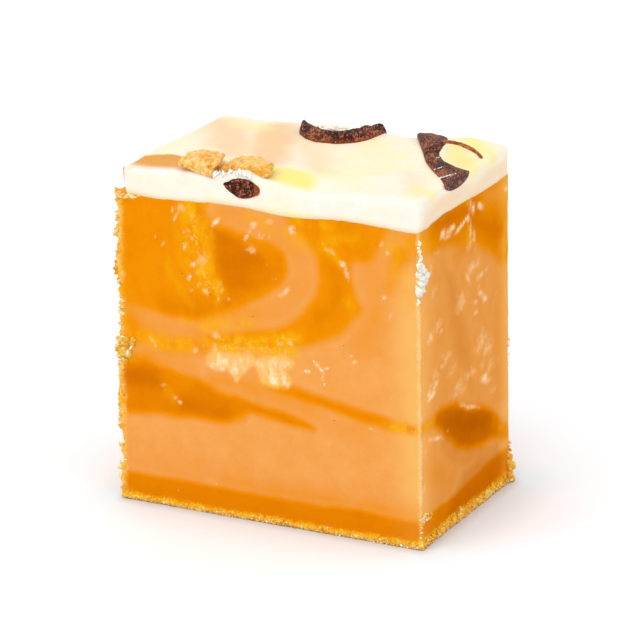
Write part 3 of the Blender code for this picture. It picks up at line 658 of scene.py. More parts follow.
def fudge_block(mat):
    obj = mesh_object("fudge_block", unit_sleeve(BLOCK_ACROSS, BLOCK_ALONG, BLOCK_ROWS, lid=False))
    u, v, row = points_of(obj.data).T
    row = -row
    x, y, _, _ = outline(u, v, np.full(len(u), RIM_HEIGHT / 2.0), 0.0, left_face)
    z, inset = row_places(row, BLOCK_ROWS, 0.0, icing_bottom(x, y) + 0.06 * MM, FOOT_EDGE, 0.05 * MM)
    x, y, look_x, look_y = outline(u, v, z, inset, left_face)
    points = np.column_stack([x, y, z])
    relief = cut_relief(points, look_x, look_y) * smoothstep(0.0, 0.25 * MM, z)
    points += np.column_stack([look_x, look_y, np.zeros(len(x))]) * relief[:, None]
    points[:, 0] = np.maximum(points[:, 0], LEFT_LIMIT)
    set_points(obj.data, points)
    marble(obj)
    hand_in(obj, "marbled_fudge", mat, "fudge_base", "fudge_peach", "fudge_marbled")
    return obj


# Tints of the white chocolate and painted shade on its top, as (x, y, half width) in mm from the centre, and on its
# front as (x, z, half width).
# Peach on the top. The first and third strokes, on its left part, are partly peach streaks and partly painted shade
# with warm reflected light; the others are peach streaks.
TOP_PEACH_AND_SHADE = (
    (0.95, 2.2, ((-10, 9, 2.4), (-8, 3, 3.0), (-6.0, -1.5, 2.6), (-4.0, -4.5, 1.8))),
    (0.50, 2.2, ((-3.6, 3.4, 1.4), (0.5, -2.0, 1.8), (3.0, -5.5, 1.2))),
    (0.75, 2.4, ((-18, 9, 2.4), (-14, 3, 3.0), (-10, -3, 2.4))),
    (0.60, 1.2, ((13.6, 8.0, 0.7), (15.2, 6.4, 1.2), (17.4, 4.6, 1.2))),
    (0.70, 1.0, ((10.6, 13.0, 0.8), (12.6, 11.8, 0.7))),
    (0.35, 1.4, ((12.6, -2.0, 0.8), (15.2, -6.0, 0.9), (17.5, -10.0, 0.8))),
)
TOP_YELLOW = (
    (1.0, 1.0, ((-3.4, -7.6, 1.2), (-1.0, -8.8, 2.2), (1.6, -10.4, 2.4), (2.6, -12.6, 1.4))),
    (0.7, 0.8, ((-2.8, -11.6, 0.7), (-1.0, -12.6, 0.8), (0.6, -13.4, 0.6))),
    (0.8, 1.2, ((12.2, 13.0, 0.8), (14, 11.6, 1.3), (17, 9.0, 1.2), (19, 8.2, 0.8))),
    (0.7, 1.4, ((14.4, 7.4, 1.1), (16.6, 5.2, 1.6), (18.6, 3.4, 1.1))),
    (0.35, 2.0, ((5, 9, 1.2), (6.5, 2, 1.5), (8, -4, 1.0))),
    (0.6, 1.3, ((16.5, -7.0, 0.6), (18.5, -9.0, 0.9), (20, -9.6, 0.6))),
    (0.40, 1.6, ((-16, 10, 1.4), (-12, 8, 1.8))),
)
# Painted shade with orange reflected light in it, over the top's front left and beside the toffee.
TOP_AMBER_SHADE = (
    (1.0, 1.2, ((-21, -11.4, 1.7), (-17.5, -10.0, 2.4), (-14.0, -10.6, 1.9), (-12.0, -11.6, 1.1))),
    (0.6, 1.4, ((-9.5, -8.0, 1.2), (-7.5, -10.4, 1.4), (-7.2, -12.0, 0.8))),
    (0.55, 1.2, ((-4.5, -11.0, 1.2), (-2.4, -11.2, 1.0), (-1.0, -11.6, 0.5))),
)
FRONT_YELLOW = (
    (0.7, 1.0, ((-1.0, 40.6, 0.6), (1.8, 40.8, 1.0), (4.4, 40.6, 0.7))),
    (0.35, 1.5, ((-18, 41.4, 0.8), (-12, 42.0, 1.0))),
)
SIDE_PEACH = (
    (0.55, 1.6, ((-12, 40.2, 0.8), (-6, 41.0, 1.6), (-3, 41.2, 1.9), (2, 40.6, 1.2), (12, 41.2, 1.2))),
)


def icing(mat):
    obj = mesh_object("icing_coat", unit_sleeve(ICING_ACROSS, ICING_ALONG, ICING_ROWS, lid=True))
    u, v, row = points_of(obj.data).T
    row = -row
    rim_z = np.full(len(u), RIM_HEIGHT - TOP_EDGE)
    x, y, look_x, look_y = outline(u, v, rim_z, 0.0, icing_left_face)
    top, bottom = icing_top(x, y), icing_bottom(x, y)
    to_edge = np.minimum(np.minimum(x - icing_left_face(rim_z), right_face(rim_z) - x), HALF_DEPTH - np.abs(y))
    short = np.clip(1.0 - to_edge / TOP_EDGE, 0.0, 1.0)
    lid_z = top - TOP_EDGE * (1.0 - np.sqrt(1.0 - short**2))
    wall_z = (top - TOP_EDGE) + row / ICING_ROWS * (bottom - (top - TOP_EDGE))
    z = np.where(row < 0.5, lid_z, wall_z)
    on_wall = (np.abs(look_x) + np.abs(look_y)) > 0
    foot_inset = 0.03 * MM * smoothstep(ICING_ROWS - 2, ICING_ROWS, row)
    x, y, look_x, look_y = outline(u, v, z, np.where(on_wall, foot_inset, 0.0), icing_left_face)
    points = np.column_stack([x, y, z])
    side = 0.07 * MM * rough_noise(points, 3.5 * MM, 61) + 0.02 * MM * rough_noise(points, 0.9 * MM, 63)
    points += np.column_stack([look_x, look_y, np.zeros(len(x))]) * side[:, None]
    flow = np.column_stack([x + 0.6 * y, 0.5 * (y - 0.6 * x), z])
    ripple = 0.08 * MM * rough_noise(flow, 3.0 * MM, 65) + 0.02 * MM * rough_noise(points, 1.0 * MM, 67)
    crest = np.exp(-((x + 5.5 * MM) ** 2 + (y + 12.4 * MM) ** 2) / (3.4 * MM) ** 2)
    ripple += 0.32 * MM * crest * rough_noise(points, 1.3 * MM, 69)
    points[:, 2] += ripple * (row < 0.5) * (1.0 - short**2)
    set_points(obj.data, points)

    x, y, z = points.T / MM
    sway = np.column_stack([rough_noise(points, 4.0 * MM, s) for s in (71, 73)]) * 0.7
    plan, front, side = (np.column_stack(pair) + sway for pair in ((x, y), (x, z), (y, z)))
    on_top = smoothstep(41.6, 42.5, z)
    on_front = (1.0 - smoothstep(-12.9, -12.2, y)) * (1.0 - on_top)
    on_side = smoothstep(18.2, 18.8, x) * (1.0 - on_top)
    set_mask(obj, "peach", np.maximum(strongest(plan, TOP_PEACH_AND_SHADE) * on_top, strongest(side, SIDE_PEACH) * on_side))
    set_mask(obj, "yellow", np.maximum(strongest(plan, TOP_YELLOW) * on_top, strongest(front, FRONT_YELLOW) * on_front))
    # Painted shade on the top's front left, with orange reflected light in it.
    set_mask(obj, "amber_shade", strongest(plan, TOP_AMBER_SHADE) * smoothstep(42.0, 42.5, z))
    set_mask(obj, "low", 1.0 - smoothstep(0.0, 0.8, z - bottom / MM))
    set_mask(obj, "face", (1.0 - smoothstep(-13.0, -10.8, y)) * smoothstep(0.3, 1.0, z - bottom / MM))
    corner = np.hypot(x + 20.0, 0.6 * (y + 13.25)) + 0.12 * sway[:, 0]
    set_mask(obj, "edge", (1.0 - smoothstep(0.12, 0.40, corner)) * smoothstep(40.0, 41.0, z))
    hand_in(obj, "white_chocolate", mat, "icing")
    return obj


# ---------------------------------------------------------------------------------------------------------------
# Toppings.
# ---------------------------------------------------------------------------------------------------------------

SECTION_SIDES = 28
# Each station of a curl: one side (x, y) and the other side (x, y), in mm.
CURL_BACK = (
    (-6.8, 8.4, -7.1, 10.4), (-6.2, 6.9, -6.4, 9.7), (-4.4, 5.3, -4.9, 8.5), (-2.5, 4.6, -3.2, 7.9),
    (-0.6, 5.1, -1.7, 8.1), (0.85, 6.4, -0.8, 9.0), (2.0, 8.3, -0.2, 10.4), (2.4, 10.4, 0.3, 11.7),
    (2.6, 12.0, 0.9, 12.9), (2.7, 13.6, 1.5, 14.1))
CURL_RIGHT = (
    (11.5, 12.9, 6.9, 13.1), (12.7, 10.8, 7.5, 11.8), (13.1, 8.9, 8.5, 9.9), (13.1, 7.2, 9.8, 7.7),
    (13.3, 5.7, 11.2, 5.4), (14.2, 4.4, 12.7, 2.9), (15.6, 3.0, 14.3, 0.8), (17.2, 2.2, 17.1, -2.8),
    (18.9, 1.4, 19.3, -6.0), (21.2, 0.7, 21.4, -8.4))
CURL_TAIL = (
    (11.6, 8.9, 11.7, 9.6), (12.6, 8.5, 12.7, 9.2), (14.1, 8.3, 14.2, 8.9), (15.7, 7.9, 15.9, 8.5),
    (17.1, 7.4, 17.4, 7.8), (18.4, 6.4, 18.6, 6.6))
FLUSH_PROUD = 0.06 * MM


def curl_bar(stations, proud, sunk, skew, steps=8):
    """A curl of chocolate between two rails, extruded station by station from a first oval."""
    run = smooth_run(stations, steps) * MM
    bm = bmesh.new()
    bmesh.ops.create_circle(bm, cap_ends=True, segments=SECTION_SIDES, radius=1.0)
    bm.faces.ensure_lookup_table()
    cap = bm.faces[0]
    rim = bm.verts.layers.float.new("rim")
    rings = [list(cap.verts)]
    for _ in run[1:]:
        cap = bmesh.ops.extrude_discrete_faces(bm, faces=[cap])["faces"][0]
        rings.append(list(cap.verts))
    for (near_x, near_y, far_x, far_y), ring in zip(run, rings):
        x, y = (near_x + far_x) / 2.0, (near_y + far_y) / 2.0
        half = ((near_x - far_x) / 2.0, (near_y - far_y) / 2.0)
        surface = icing_top(x, y)
        for side, vert in enumerate(ring):
            angle = 2.0 * math.pi * side / SECTION_SIDES
            across, up = math.cos(angle), math.sin(angle)
            across -= skew * max(0.0, up) * (1.0 - abs(across))
            vert.co = (x + half[0] * across, y + half[1] * across, surface + (proud if up > 0 else sunk) * up)
            vert[rim] = abs(math.cos(angle))
    bmesh.ops.holes_fill(bm, edges=[edge for edge in bm.edges if edge.is_boundary], sides=0)
    return bm


def trim_flush(bm):
    """Cuts a topping off flush with the cut faces, leaving it just proud of them."""
    planes = (
        (Vector((HALF_WIDTH + FLUSH_PROUD, 0.0, 0.0)), Vector((1.0, 0.0, SIDE_LEAN))),
        (Vector((0.0, HALF_DEPTH + FLUSH_PROUD, 0.0)), Vector((0.0, 1.0, 0.0))),
        (Vector((0.0, -HALF_DEPTH - FLUSH_PROUD, 0.0)), Vector((0.0, -1.0, 0.0))))
    for point, normal in planes:
        cut = bmesh.ops.bisect_plane(
            bm, geom=bm.verts[:] + bm.edges[:] + bm.faces[:], plane_co=point, plane_no=normal, clear_outer=True)
        rim = [part for part in cut["geom_cut"] if isinstance(part, bmesh.types.BMEdge)]
        if rim:
            bmesh.ops.holes_fill(bm, edges=rim)
    bmesh.ops.recalc_face_normals(bm, faces=bm.faces[:])


def chocolate_curl(name, stations, proud, sunk, skew, mat, *stands_for):
    bm = curl_bar(stations, proud, sunk, skew)
    bmesh.ops.subdivide_edges(bm, edges=[edge for edge in bm.edges if len(edge.link_faces) == 2], cuts=1)
    trim_flush(bm)
    bmesh.ops.triangulate(bm, faces=bm.faces[:])
    obj = mesh_object(name, bm)
    co = points_of(obj.data)
    on_top = smoothstep(42.9, 43.6, co[:, 2] / MM)
    co[:, 2] += on_top * proud * (0.16 * rough_noise(co, 1.2 * MM, 81) + 0.10 * rough_noise(co, 0.35 * MM, 83))
    set_points(obj.data, co)
    obj.data.set_sharp_from_angle(angle=math.radians(55.0))
    hand_in(obj, "dark_chocolate", mat, *stands_for)


def chunk(mat):
    """The sliced end of a dark chocolate shaving that shows in the front face."""
    bm = bmesh.new()
    bmesh.ops.create_icosphere(bm, subdivisions=5, radius=1.0)
    co = np.array([vert.co for vert in bm.verts])
    taper = np.where(co[:, 0] < 0.0, 1.0 - 0.35 * np.abs(co[:, 0]) ** 2.0, 1.0)
    push = 1.0 + 0.10 * rough_noise(co, 0.7, 5)
    shaped = np.array((-3.85, -13.2, 41.8)) + co * push[:, None] * np.array((4.6, 4.0, 2.3)) / 2.0
    shaped[:, 2] = 41.8 + (shaped[:, 2] - 41.8) * taper - 0.10 * np.minimum(shaped[:, 0] + 3.8, 0.0)
    for vert, place in zip(bm.verts, shaped * MM):
        vert.co = place
    trim_flush(bm)
    obj = mesh_object("chunk_front", bm)
    obj.data.set_sharp_from_angle(angle=math.radians(50.0))
    place = points_of(obj.data) / MM
    edge = np.hypot((place[:, 0] + 3.9) / 2.3, (place[:, 2] - 41.8) / 1.15)
    set_mask(obj, "rim", smoothstep(0.75, 1.0, edge) * (0.6 + 0.5 * smoothstep(-3.5, -1.8, place[:, 0])))
    hand_in(obj, "dark_chocolate", mat, "chocolate_chunk")


# Broken toffee, as its front outline (x, z) in mm.
SHARD_LEFT = (
    (-12.6, 43.9), (-11.9, 44.4), (-10.6, 44.6), (-9.2, 44.55), (-7.6, 44.95), (-6.8, 44.8), (-6.9, 44.3),
    (-7.5, 43.8), (-7.7, 43.0), (-7.4, 42.65), (-8.2, 42.6), (-9.6, 42.9), (-11.0, 43.3), (-12.3, 43.5))
SHARD_RIGHT = (
    (-7.3, 43.4), (-6.9, 44.0), (-5.7, 44.35), (-4.2, 44.5), (-2.7, 44.5), (-1.5, 44.2), (-0.7, 43.9), (-0.6, 43.4),
    (-1.6, 43.0), (-4.0, 42.8), (-6.4, 42.9))


def shard(name, node, front_outline, near, depth, rise, turn, seed, mat):
    """A splinter of toffee: its outline drawn back into a block, with worn arrises and a broken grain."""
    bm = bmesh.new()
    corners = [bm.verts.new((x * MM, near * MM, z * MM)) for x, z in front_outline]
    front = bm.faces.new(corners)
    face = front
    for share in (0.5, 0.5):
        back = bmesh.ops.extrude_discrete_faces(bm, faces=[face])["faces"][0]
        bmesh.ops.translate(bm, verts=back.verts[:], vec=(turn * share * MM, depth * share * MM, rise * share * MM))
        middle = back.calc_center_median()
        bmesh.ops.scale(bm, verts=back.verts[:], vec=(0.92, 1.0, 0.86), space=Matrix.Translation(-middle))
        face = back
    bmesh.ops.holes_fill(bm, edges=[edge for edge in bm.edges if edge.is_boundary], sides=0)
    bmesh.ops.bevel(
        bm, geom=bm.edges[:], offset=0.16 * MM, affect="EDGES", segments=1, profile=0.5, material=-1)
    bmesh.ops.triangulate(bm, faces=bm.faces[:])
    bmesh.ops.subdivide_edges(bm, edges=bm.edges[:], cuts=3, use_grid_fill=True)
    bmesh.ops.recalc_face_normals(bm, faces=bm.faces[:])
    trim_shy(bm)
    obj = mesh_object(name, bm)
    co = points_of(obj.data)
    push = np.column_stack([rough_noise(co, 1.3 * MM, seed + shift) for shift in (0, 7, 14)]) * 0.24 * MM
    push += np.column_stack([rough_noise(co, 0.4 * MM, seed + shift) for shift in (3, 9, 15)]) * 0.10 * MM
    set_points(obj.data, co + push)
    obj.data.set_sharp_from_angle(angle=math.radians(35.0))
    hand_in(obj, "toffee", mat, node)


def trim_shy(bm):
    """Keeps a piece from standing more than a little out of the front face."""
    for vert in bm.verts:
        vert.co.y = max(vert.co.y, -HALF_DEPTH - 0.35 * MM)


# ---------------------------------------------------------------------------------------------------------------
# Materials.
# ---------------------------------------------------------------------------------------------------------------


class Nodes:
    """A short way to place and join the nodes of one tree."""

    def __init__(self, tree):
        self.tree = tree

    def add(self, kind, inputs=None, **settings):
        node = self.tree.nodes.new(kind)
        for name, value in settings.items():
            setattr(node, name, value)
        for key, value in (inputs or {}).items():
            self.feed(node.inputs[key], value)
        return node

    def feed(self, socket, value):
        if isinstance(value, bpy.types.NodeSocket):
            self.tree.links.new(value, socket)
        elif isinstance(value, tuple) and len(value) == 3 and socket.type == "RGBA":
            socket.default_value = (*value, 1.0)
        else:
            socket.default_value = value

    def mask(self, name):
        return self.add("ShaderNodeAttribute", attribute_name=name).outputs["Fac"]

    def maths(self, operation, first, second=0.0, third=0.0, clamp=False):
        node = self.add("ShaderNodeMath", {0: first, 1: second, 2: third}, operation=operation, use_clamp=clamp)
        return node.outputs[0]

    def times(self, first, second):
        return self.maths("MULTIPLY", first, second)

    def place(self, stretch=(1.0, 1.0, 1.0), turn=(0.0, 0.0, 0.0), kind="POINT"):
        coords = self.add("ShaderNodeTexCoord").outputs["Object"]
        inputs = {"Vector": coords, "Scale": stretch, "Rotation": turn}
        return self.add("ShaderNodeMapping", inputs, vector_type=kind).outputs[0]

    def drawn(self):
        """Coordinates in which patterns on the flat top run long from front to back, as poured chocolate does."""
        return self.place((1.0, 2.4, 1.3), (0.0, 0.0, 0.456), "TEXTURE")

    def noise(self, size, detail=3.0, rough=0.5, where=None):
        scale = 1.0 / size if isinstance(size, float) else self.maths("DIVIDE", 1.0, size)
        inputs = {"Vector": where or self.place(), "Scale": scale, "Detail": detail, "Roughness": rough}
        return self.add("ShaderNodeTexNoise", inputs).outputs["Fac"]

    def band(self, value, low, high):
        """0 below low, 1 above high, smooth between."""
        node = self.add(
            "ShaderNodeMapRange", {"Value": value, "From Min": low, "From Max": high}, interpolation_type="SMOOTHSTEP")
        return node.outputs["Result"]

    def ramp(self, value, stops):
        node = self.add("ShaderNodeValToRGB", {"Fac": value})
        elements = node.color_ramp.elements
        while len(elements) < len(stops):
            elements.new(0.5)
        for element, (place, colour) in zip(elements, stops):
            element.position = place
            element.color = (*colour, 1.0)
        return node.outputs["Color"]

    def mix(self, share, first, second, blend="MIX"):
        node = self.add("ShaderNodeMix", data_type="RGBA", blend_type=blend)
        colours = [socket for socket in node.inputs if socket.type == "RGBA"]
        self.feed(node.inputs["Factor"], share)
        self.feed(colours[0], first)
        self.feed(colours[1], second)
        return next(socket for socket in node.outputs if socket.type == "RGBA")


class Finish(Nodes):
    """A material's own nodes, ending in its Principled shader."""

    def __init__(self, name):
        self.mat = bpy.data.materials.new(name)
        self.mat.use_nodes = True
        super().__init__(self.mat.node_tree)
        self.shader = self.tree.nodes["Principled BSDF"]

    def group(self, tree, **values):
        node = self.add("ShaderNodeGroup")
        node.node_tree = tree
        for name, value in values.items():
            self.feed(node.inputs[name.replace("_", " ")], value)
        return node.outputs

    def done(self, **sockets):
        for name, value in sockets.items():
            self.feed(self.shader.inputs[name.replace("_", " ")], value)
        return self.mat


def effect(name, inputs, outputs):
    """An empty shader node group with named number inputs and outputs."""
    tree = bpy.data.node_groups.new(name, "ShaderNodeTree")
    for label, value in inputs.items():
        socket = tree.interface.new_socket(label, in_out="INPUT", socket_type="NodeSocketFloat")
        socket.default_value = value
    for label, kind in outputs.items():
        tree.interface.new_socket(label, in_out="OUTPUT", socket_type=kind)
    nodes = Nodes(tree)
    return tree, nodes, nodes.add("NodeGroupInput").outputs, nodes.add("NodeGroupOutput").inputs


def grain_effect():
    """Fine unevenness of a set or cut sweet: its height, and the patches where it is duller."""
    tree, nodes, given, result = effect(
        "grain", {"Fine size": 0.0004, "Broad size": 0.002}, {"Height": "NodeSocketFloat", "Dull": "NodeSocketFloat"})
    fine = nodes.noise(given["Fine size"], 4.0, 0.62)
    broad = nodes.noise(given["Broad size"], 2.0)
    nodes.feed(result["Height"], nodes.maths("MULTIPLY_ADD", broad, 1.4, fine))
    nodes.feed(result["Dull"], nodes.noise(given["Broad size"], 3.0, 0.6))
    return tree


def speck_effect():
    """Scattered dots: one in each cell that is picked."""
    tree, nodes, given, result = effect(
        "specks", {"Spacing": 0.002, "Size": 0.05, "Share": 0.25}, {"Dots": "NodeSocketFloat"})
    scale = nodes.maths("DIVIDE", 1.0, given["Spacing"])
    cells = nodes.add("ShaderNodeTexVoronoi", {"Vector": nodes.place(), "Scale": scale})
    pick = nodes.add("ShaderNodeSeparateColor", {"Color": cells.outputs["Color"]}).outputs[0]
    inside = nodes.maths("LESS_THAN", cells.outputs["Distance"], given["Size"])
    nodes.feed(result["Dots"], nodes.times(inside, nodes.maths("LESS_THAN", pick, given["Share"])))
    return tree


CARAMEL_STOPS = (
    (0.0, (0.765, 0.340, 0.084)),
    (0.10, (0.745, 0.298, 0.061)),
    (0.25, (0.742, 0.268, 0.026)),
    (0.40, (0.738, 0.238, 0.003)),
    (0.5, (0.730, 0.220, 0.0006)),
    (0.75, (0.625, 0.168, 0.0004)),
    (1.0, (0.470, 0.112, 0.0004)),
)
GOLD = (0.79, 0.385, 0.003)
SUGAR = (0.87, 0.68, 0.40)
PEARL = (0.88, 0.67, 0.42)
VEIL = (0.86, 0.48, 0.22)
# SHADE_FACTOR: how painted shade darkens and browns the fudge's colour.
SHADE_FACTOR = (0.80, 0.66, 0.42)
# EDGE_GLOW: colour of the painted light near the upright edges.
EDGE_GLOW = (0.80, 0.46, 0.13)
# Colour of the painted highlight along the upright edges.
EDGE_HIGHLIGHT = (0.88, 0.72, 0.42)


def fudge_material(effects):
    n = Finish("marbled fudge")
    grain = n.group(effects["grain"], Fine_size=0.00045, Broad_size=0.0024)
    blotches = n.maths("SUBTRACT", n.noise(2.8 * MM, 4.0, 0.6), 0.5)
    fine = n.maths("SUBTRACT", n.noise(0.4 * MM, 3.0, 0.6), 0.5)
    tone = n.maths("MULTIPLY_ADD", blotches, 0.50, n.mask("tone"))
    tone = n.maths("MULTIPLY_ADD", fine, 0.16, tone)
    colour = n.ramp(n.maths("MULTIPLY", tone, 0.5, clamp=True), CARAMEL_STOPS)

    drifts = n.noise(2.2 * MM, 5.0, 0.65, n.place((1.0, 1.0, 0.6)))
    deep = n.place((1.0, 0.45, 1.0))
    lumps = n.noise(1.2 * MM, 5.0, 0.7, deep)
    kernels = n.noise(0.35 * MM, 3.0, 0.6, deep)
    gold = n.times(n.mask("gold"), n.band(drifts, 0.32, 0.64))
    gold = n.times(gold, n.maths("SUBTRACT", 1.0, n.band(n.mask("tone"), 1.15, 1.50)))
    colour = n.mix(gold, colour, GOLD)
    shine = n.maths("MULTIPLY_ADD", n.mask("gold"), 0.30, n.maths("MULTIPLY_ADD", lumps, 0.5, n.times(kernels, 0.5)))
    colour = n.mix(n.times(n.band(shine, 0.74, 0.98), 0.65), colour, (0.85, 0.55, 0.12))

    fibres = n.noise(0.8 * MM, 4.0, 0.6, n.place((1.0, 0.45, 0.5), (0.25, 0.35, 0.0)))
    veil = n.maths("MULTIPLY_ADD", n.maths("SUBTRACT", lumps, 0.5), 1.5, n.mask("sugar"))
    veil = n.times(n.band(veil, 0.05, 0.95), n.band(n.mask("sugar"), 0.02, 0.5))
    colour = n.mix(n.times(veil, 0.75), colour, (0.83, 0.475, 0.14))
    field = n.maths("MULTIPLY_ADD", n.maths("SUBTRACT", fibres, 0.5), 2.4, n.mask("sugar"))
    field = n.maths("MULTIPLY_ADD", n.maths("SUBTRACT", kernels, 0.5), 0.8, field)
    colour = n.mix(n.times(n.times(n.band(field, 0.70, 1.45), veil), 1.0), colour, SUGAR)
    clots = n.noise(0.9 * MM, 4.0, 0.65)
    spots = n.maths("MULTIPLY_ADD", n.maths("SUBTRACT", clots, 0.5), 1.8, n.mask("spots"))
    spots = n.maths("MULTIPLY_ADD", n.maths("SUBTRACT", kernels, 0.5), 0.9, spots)
    near = n.band(n.mask("spots"), 0.0, 0.45)
    colour = n.mix(n.times(n.times(n.band(spots, 0.05, 0.95), near), 0.80), colour, VEIL)
    colour = n.mix(n.times(n.times(n.band(spots, 0.65, 1.40), near), 0.85), colour, PEARL)
    flecks = n.group(effects["specks"], Spacing=0.0026, Size=0.035, Share=0.12)["Dots"]
    colour = n.mix(n.times(flecks, 0.5), colour, SUGAR)

    # Painted light: the glow mask lightens the fudge near its upright edges.
    colour = n.mix(n.times(n.mask("glow"), 0.62), colour, EDGE_GLOW)
    # Painted shade: the colour is darkened and browned where the shade mask lies.
    colour = n.mix(n.mask("shade"), colour, n.mix(1.0, colour, SHADE_FACTOR, "MULTIPLY"))
    crumb = n.noise(0.32 * MM, 3.0, 0.7)
    # Painted highlight along the near and far upright edges, where the rim mask lies.
    pale = n.mix(n.band(crumb, 0.35, 0.6), (0.82, 0.46, 0.12), EDGE_HIGHLIGHT)
    colour = n.mix(n.times(n.mask("rim"), 0.45), colour, pale)
    left = n.mix(n.band(n.maths("MULTIPLY_ADD", lumps, 0.6, n.times(crumb, 0.4)), 0.42, 0.62), GOLD, (0.85, 0.58, 0.22))
    colour = n.mix(n.times(n.mask("left"), 0.9), colour, left)
    crust = n.maths("MULTIPLY_ADD", n.maths("SUBTRACT", crumb, 0.5), 1.1, n.mask("foot"))
    crust = n.maths("MULTIPLY_ADD", n.maths("SUBTRACT", lumps, 0.5), 0.6, crust)
    colour = n.mix(n.band(crust, 0.38, 0.80), colour, (0.79, 0.40, 0.012))
    bright = n.maths("MULTIPLY_ADD", n.maths("SUBTRACT", kernels, 0.5), 1.4, crust)
    colour = n.mix(n.times(n.band(bright, 0.72, 1.25), 0.85), colour, (0.87, 0.68, 0.22))
    normal = n.add("ShaderNodeBump", {"Height": grain["Height"], "Strength": 0.25, "Distance": 0.15 * MM}).outputs[0]
    roughness = n.maths("MULTIPLY_ADD", grain["Dull"], 0.22, 0.30)
    return n.done(
        Base_Color=colour, Roughness=roughness, Normal=normal, Specular_IOR_Level=0.0, Subsurface_Weight=0.22,
        Subsurface_Radius=(1.0, 0.45, 0.12), Subsurface_Scale=1.0 * MM)


def icing_material(effects):
    n = Finish("white chocolate")
    grain = n.group(effects["grain"], Fine_size=0.0007, Broad_size=0.003)
    veins = n.noise(3.4 * MM, 3.0, 0.5, n.place((1.0, 0.45, 1.0), (0.0, 0.0, 0.5)))
    colour = n.mix(n.band(veins, 0.38, 0.68), (0.815, 0.745, 0.60), (0.815, 0.735, 0.49))
    colour = n.mix(n.times(n.mask("low"), 0.75), colour, (0.84, 0.58, 0.33))
    # peach: a peach tint; on the top's left part it is partly painted shade with warm reflected light.
    colour = n.mix(n.mask("peach"), colour, (0.77, 0.49, 0.26))
    colour = n.mix(n.mask("yellow"), colour, (0.82, 0.70, 0.21))
    # Painted shade: an orange-brown tint over the top's front left, with orange reflected light in it.
    shade_amount = n.band(n.maths("MULTIPLY_ADD", n.mask("amber_shade"), 0.8, n.noise(1.6 * MM, 4.0, 0.6, n.drawn())), 0.56, 0.88)
    shade_amount = n.times(shade_amount, n.band(n.mask("amber_shade"), 0.05, 0.40))
    colour = n.mix(n.times(shade_amount, 0.95), colour, (0.66, 0.27, 0.02))
    milky = n.mix(n.band(n.noise(2.2 * MM, 4.0, 0.6), 0.30, 0.62), (0.865, 0.815, 0.765), (0.85, 0.76, 0.66))
    colour = n.mix(n.times(n.mask("face"), 0.75), colour, milky)
    colour = n.mix(n.times(n.mask("edge"), 0.8), colour, (0.55, 0.20, 0.06))
    normal = n.add("ShaderNodeBump", {"Height": grain["Height"], "Strength": 0.3, "Distance": 0.15 * MM}).outputs[0]
    roughness = n.maths("MULTIPLY_ADD", grain["Dull"], 0.2, 0.32)
    return n.done(
        Base_Color=colour, Roughness=roughness, Normal=normal, Specular_IOR_Level=0.08, Subsurface_Weight=0.25,
        Subsurface_Radius=(1.0, 0.8, 0.5), Subsurface_Scale=0.8 * MM)


def chocolate_material(effects):
    n = Finish("dark chocolate")
    grain = n.group(effects["grain"], Fine_size=0.00022, Broad_size=0.0011)
    drawn = n.drawn()
    patches = n.band(n.noise(1.6 * MM, 4.0, 0.65, drawn), 0.36, 0.64)
    colour = n.mix(patches, (0.030, 0.006, 0.003), (0.115, 0.024, 0.010))
    dust = n.band(n.maths("MULTIPLY_ADD", patches, 0.12, n.noise(0.20 * MM, 2.0, 0.6, drawn)), 0.58, 0.68)
    colour = n.mix(n.times(dust, 0.72), colour, (0.48, 0.17, 0.09))
    worn = n.band(n.maths("MULTIPLY_ADD", n.noise(0.8 * MM, 3.0, 0.6), 0.5, n.mask("rim")), 1.10, 1.35)
    colour = n.mix(n.times(worn, 0.6), colour, (0.36, 0.085, 0.012))
    glints = n.group(effects["specks"], Spacing=0.00045, Size=0.20, Share=0.10)["Dots"]
    colour = n.mix(n.times(glints, 0.8), colour, (0.75, 0.42, 0.31))
    normal = n.add("ShaderNodeBump", {"Height": grain["Height"], "Strength": 0.6, "Distance": 0.15 * MM}).outputs[0]
    return n.done(
        Base_Color=colour, Roughness=n.maths("MULTIPLY_ADD", dust, 0.3, 0.40), Normal=normal, Specular_IOR_Level=0.08)


def chocolate_thread_material(effects):
    n = Finish("thin dark chocolate")
    grain = n.group(effects["grain"], Fine_size=0.0003, Broad_size=0.0011)
    colour = n.mix(n.band(n.noise(0.8 * MM, 3.0, 0.6), 0.35, 0.65), (0.20, 0.045, 0.012), (0.48, 0.15, 0.035))
    normal = n.add("ShaderNodeBump", {"Height": grain["Height"], "Strength": 0.4, "Distance": 0.1 * MM}).outputs[0]
    return n.done(Base_Color=colour, Roughness=0.45, Normal=normal, Specular_IOR_Level=0.08)


def toffee_material(effects):
    n = Finish("toffee")
    grain = n.group(effects["grain"], Fine_size=0.0004, Broad_size=0.0013)
    colour = n.mix(n.band(n.noise(1.3 * MM, 3.0, 0.6), 0.36, 0.62), (0.76, 0.32, 0.014), (0.83, 0.47, 0.09))
    # Painted highlights: pale patches on the toffee, where its facets would catch the light.
    pale = n.band(n.noise(0.7 * MM, 5.0, 0.7), 0.47, 0.60)
    colour = n.mix(n.times(pale, 0.65), colour, (0.88, 0.68, 0.34))
    burnt = n.band(n.noise(0.9 * MM, 4.0, 0.7, n.place((1.0, 1.0, 1.0), (0.7, 0.2, 0.4))), 0.56, 0.68)
    colour = n.mix(n.times(burnt, 0.75), colour, (0.46, 0.12, 0.006))
    glints = n.group(effects["specks"], Spacing=0.0008, Size=0.13, Share=0.18)["Dots"]
    colour = n.mix(n.times(glints, 0.9), colour, (0.90, 0.80, 0.58))
    normal = n.add("ShaderNodeBump", {"Height": grain["Height"], "Strength": 0.7, "Distance": 0.25 * MM}).outputs[0]
    return n.done(
        Base_Color=colour, Roughness=0.35, Normal=normal, Specular_IOR_Level=0.15, Subsurface_Weight=0.15,
        Subsurface_Radius=(1.0, 0.5, 0.15), Subsurface_Scale=0.8 * MM)


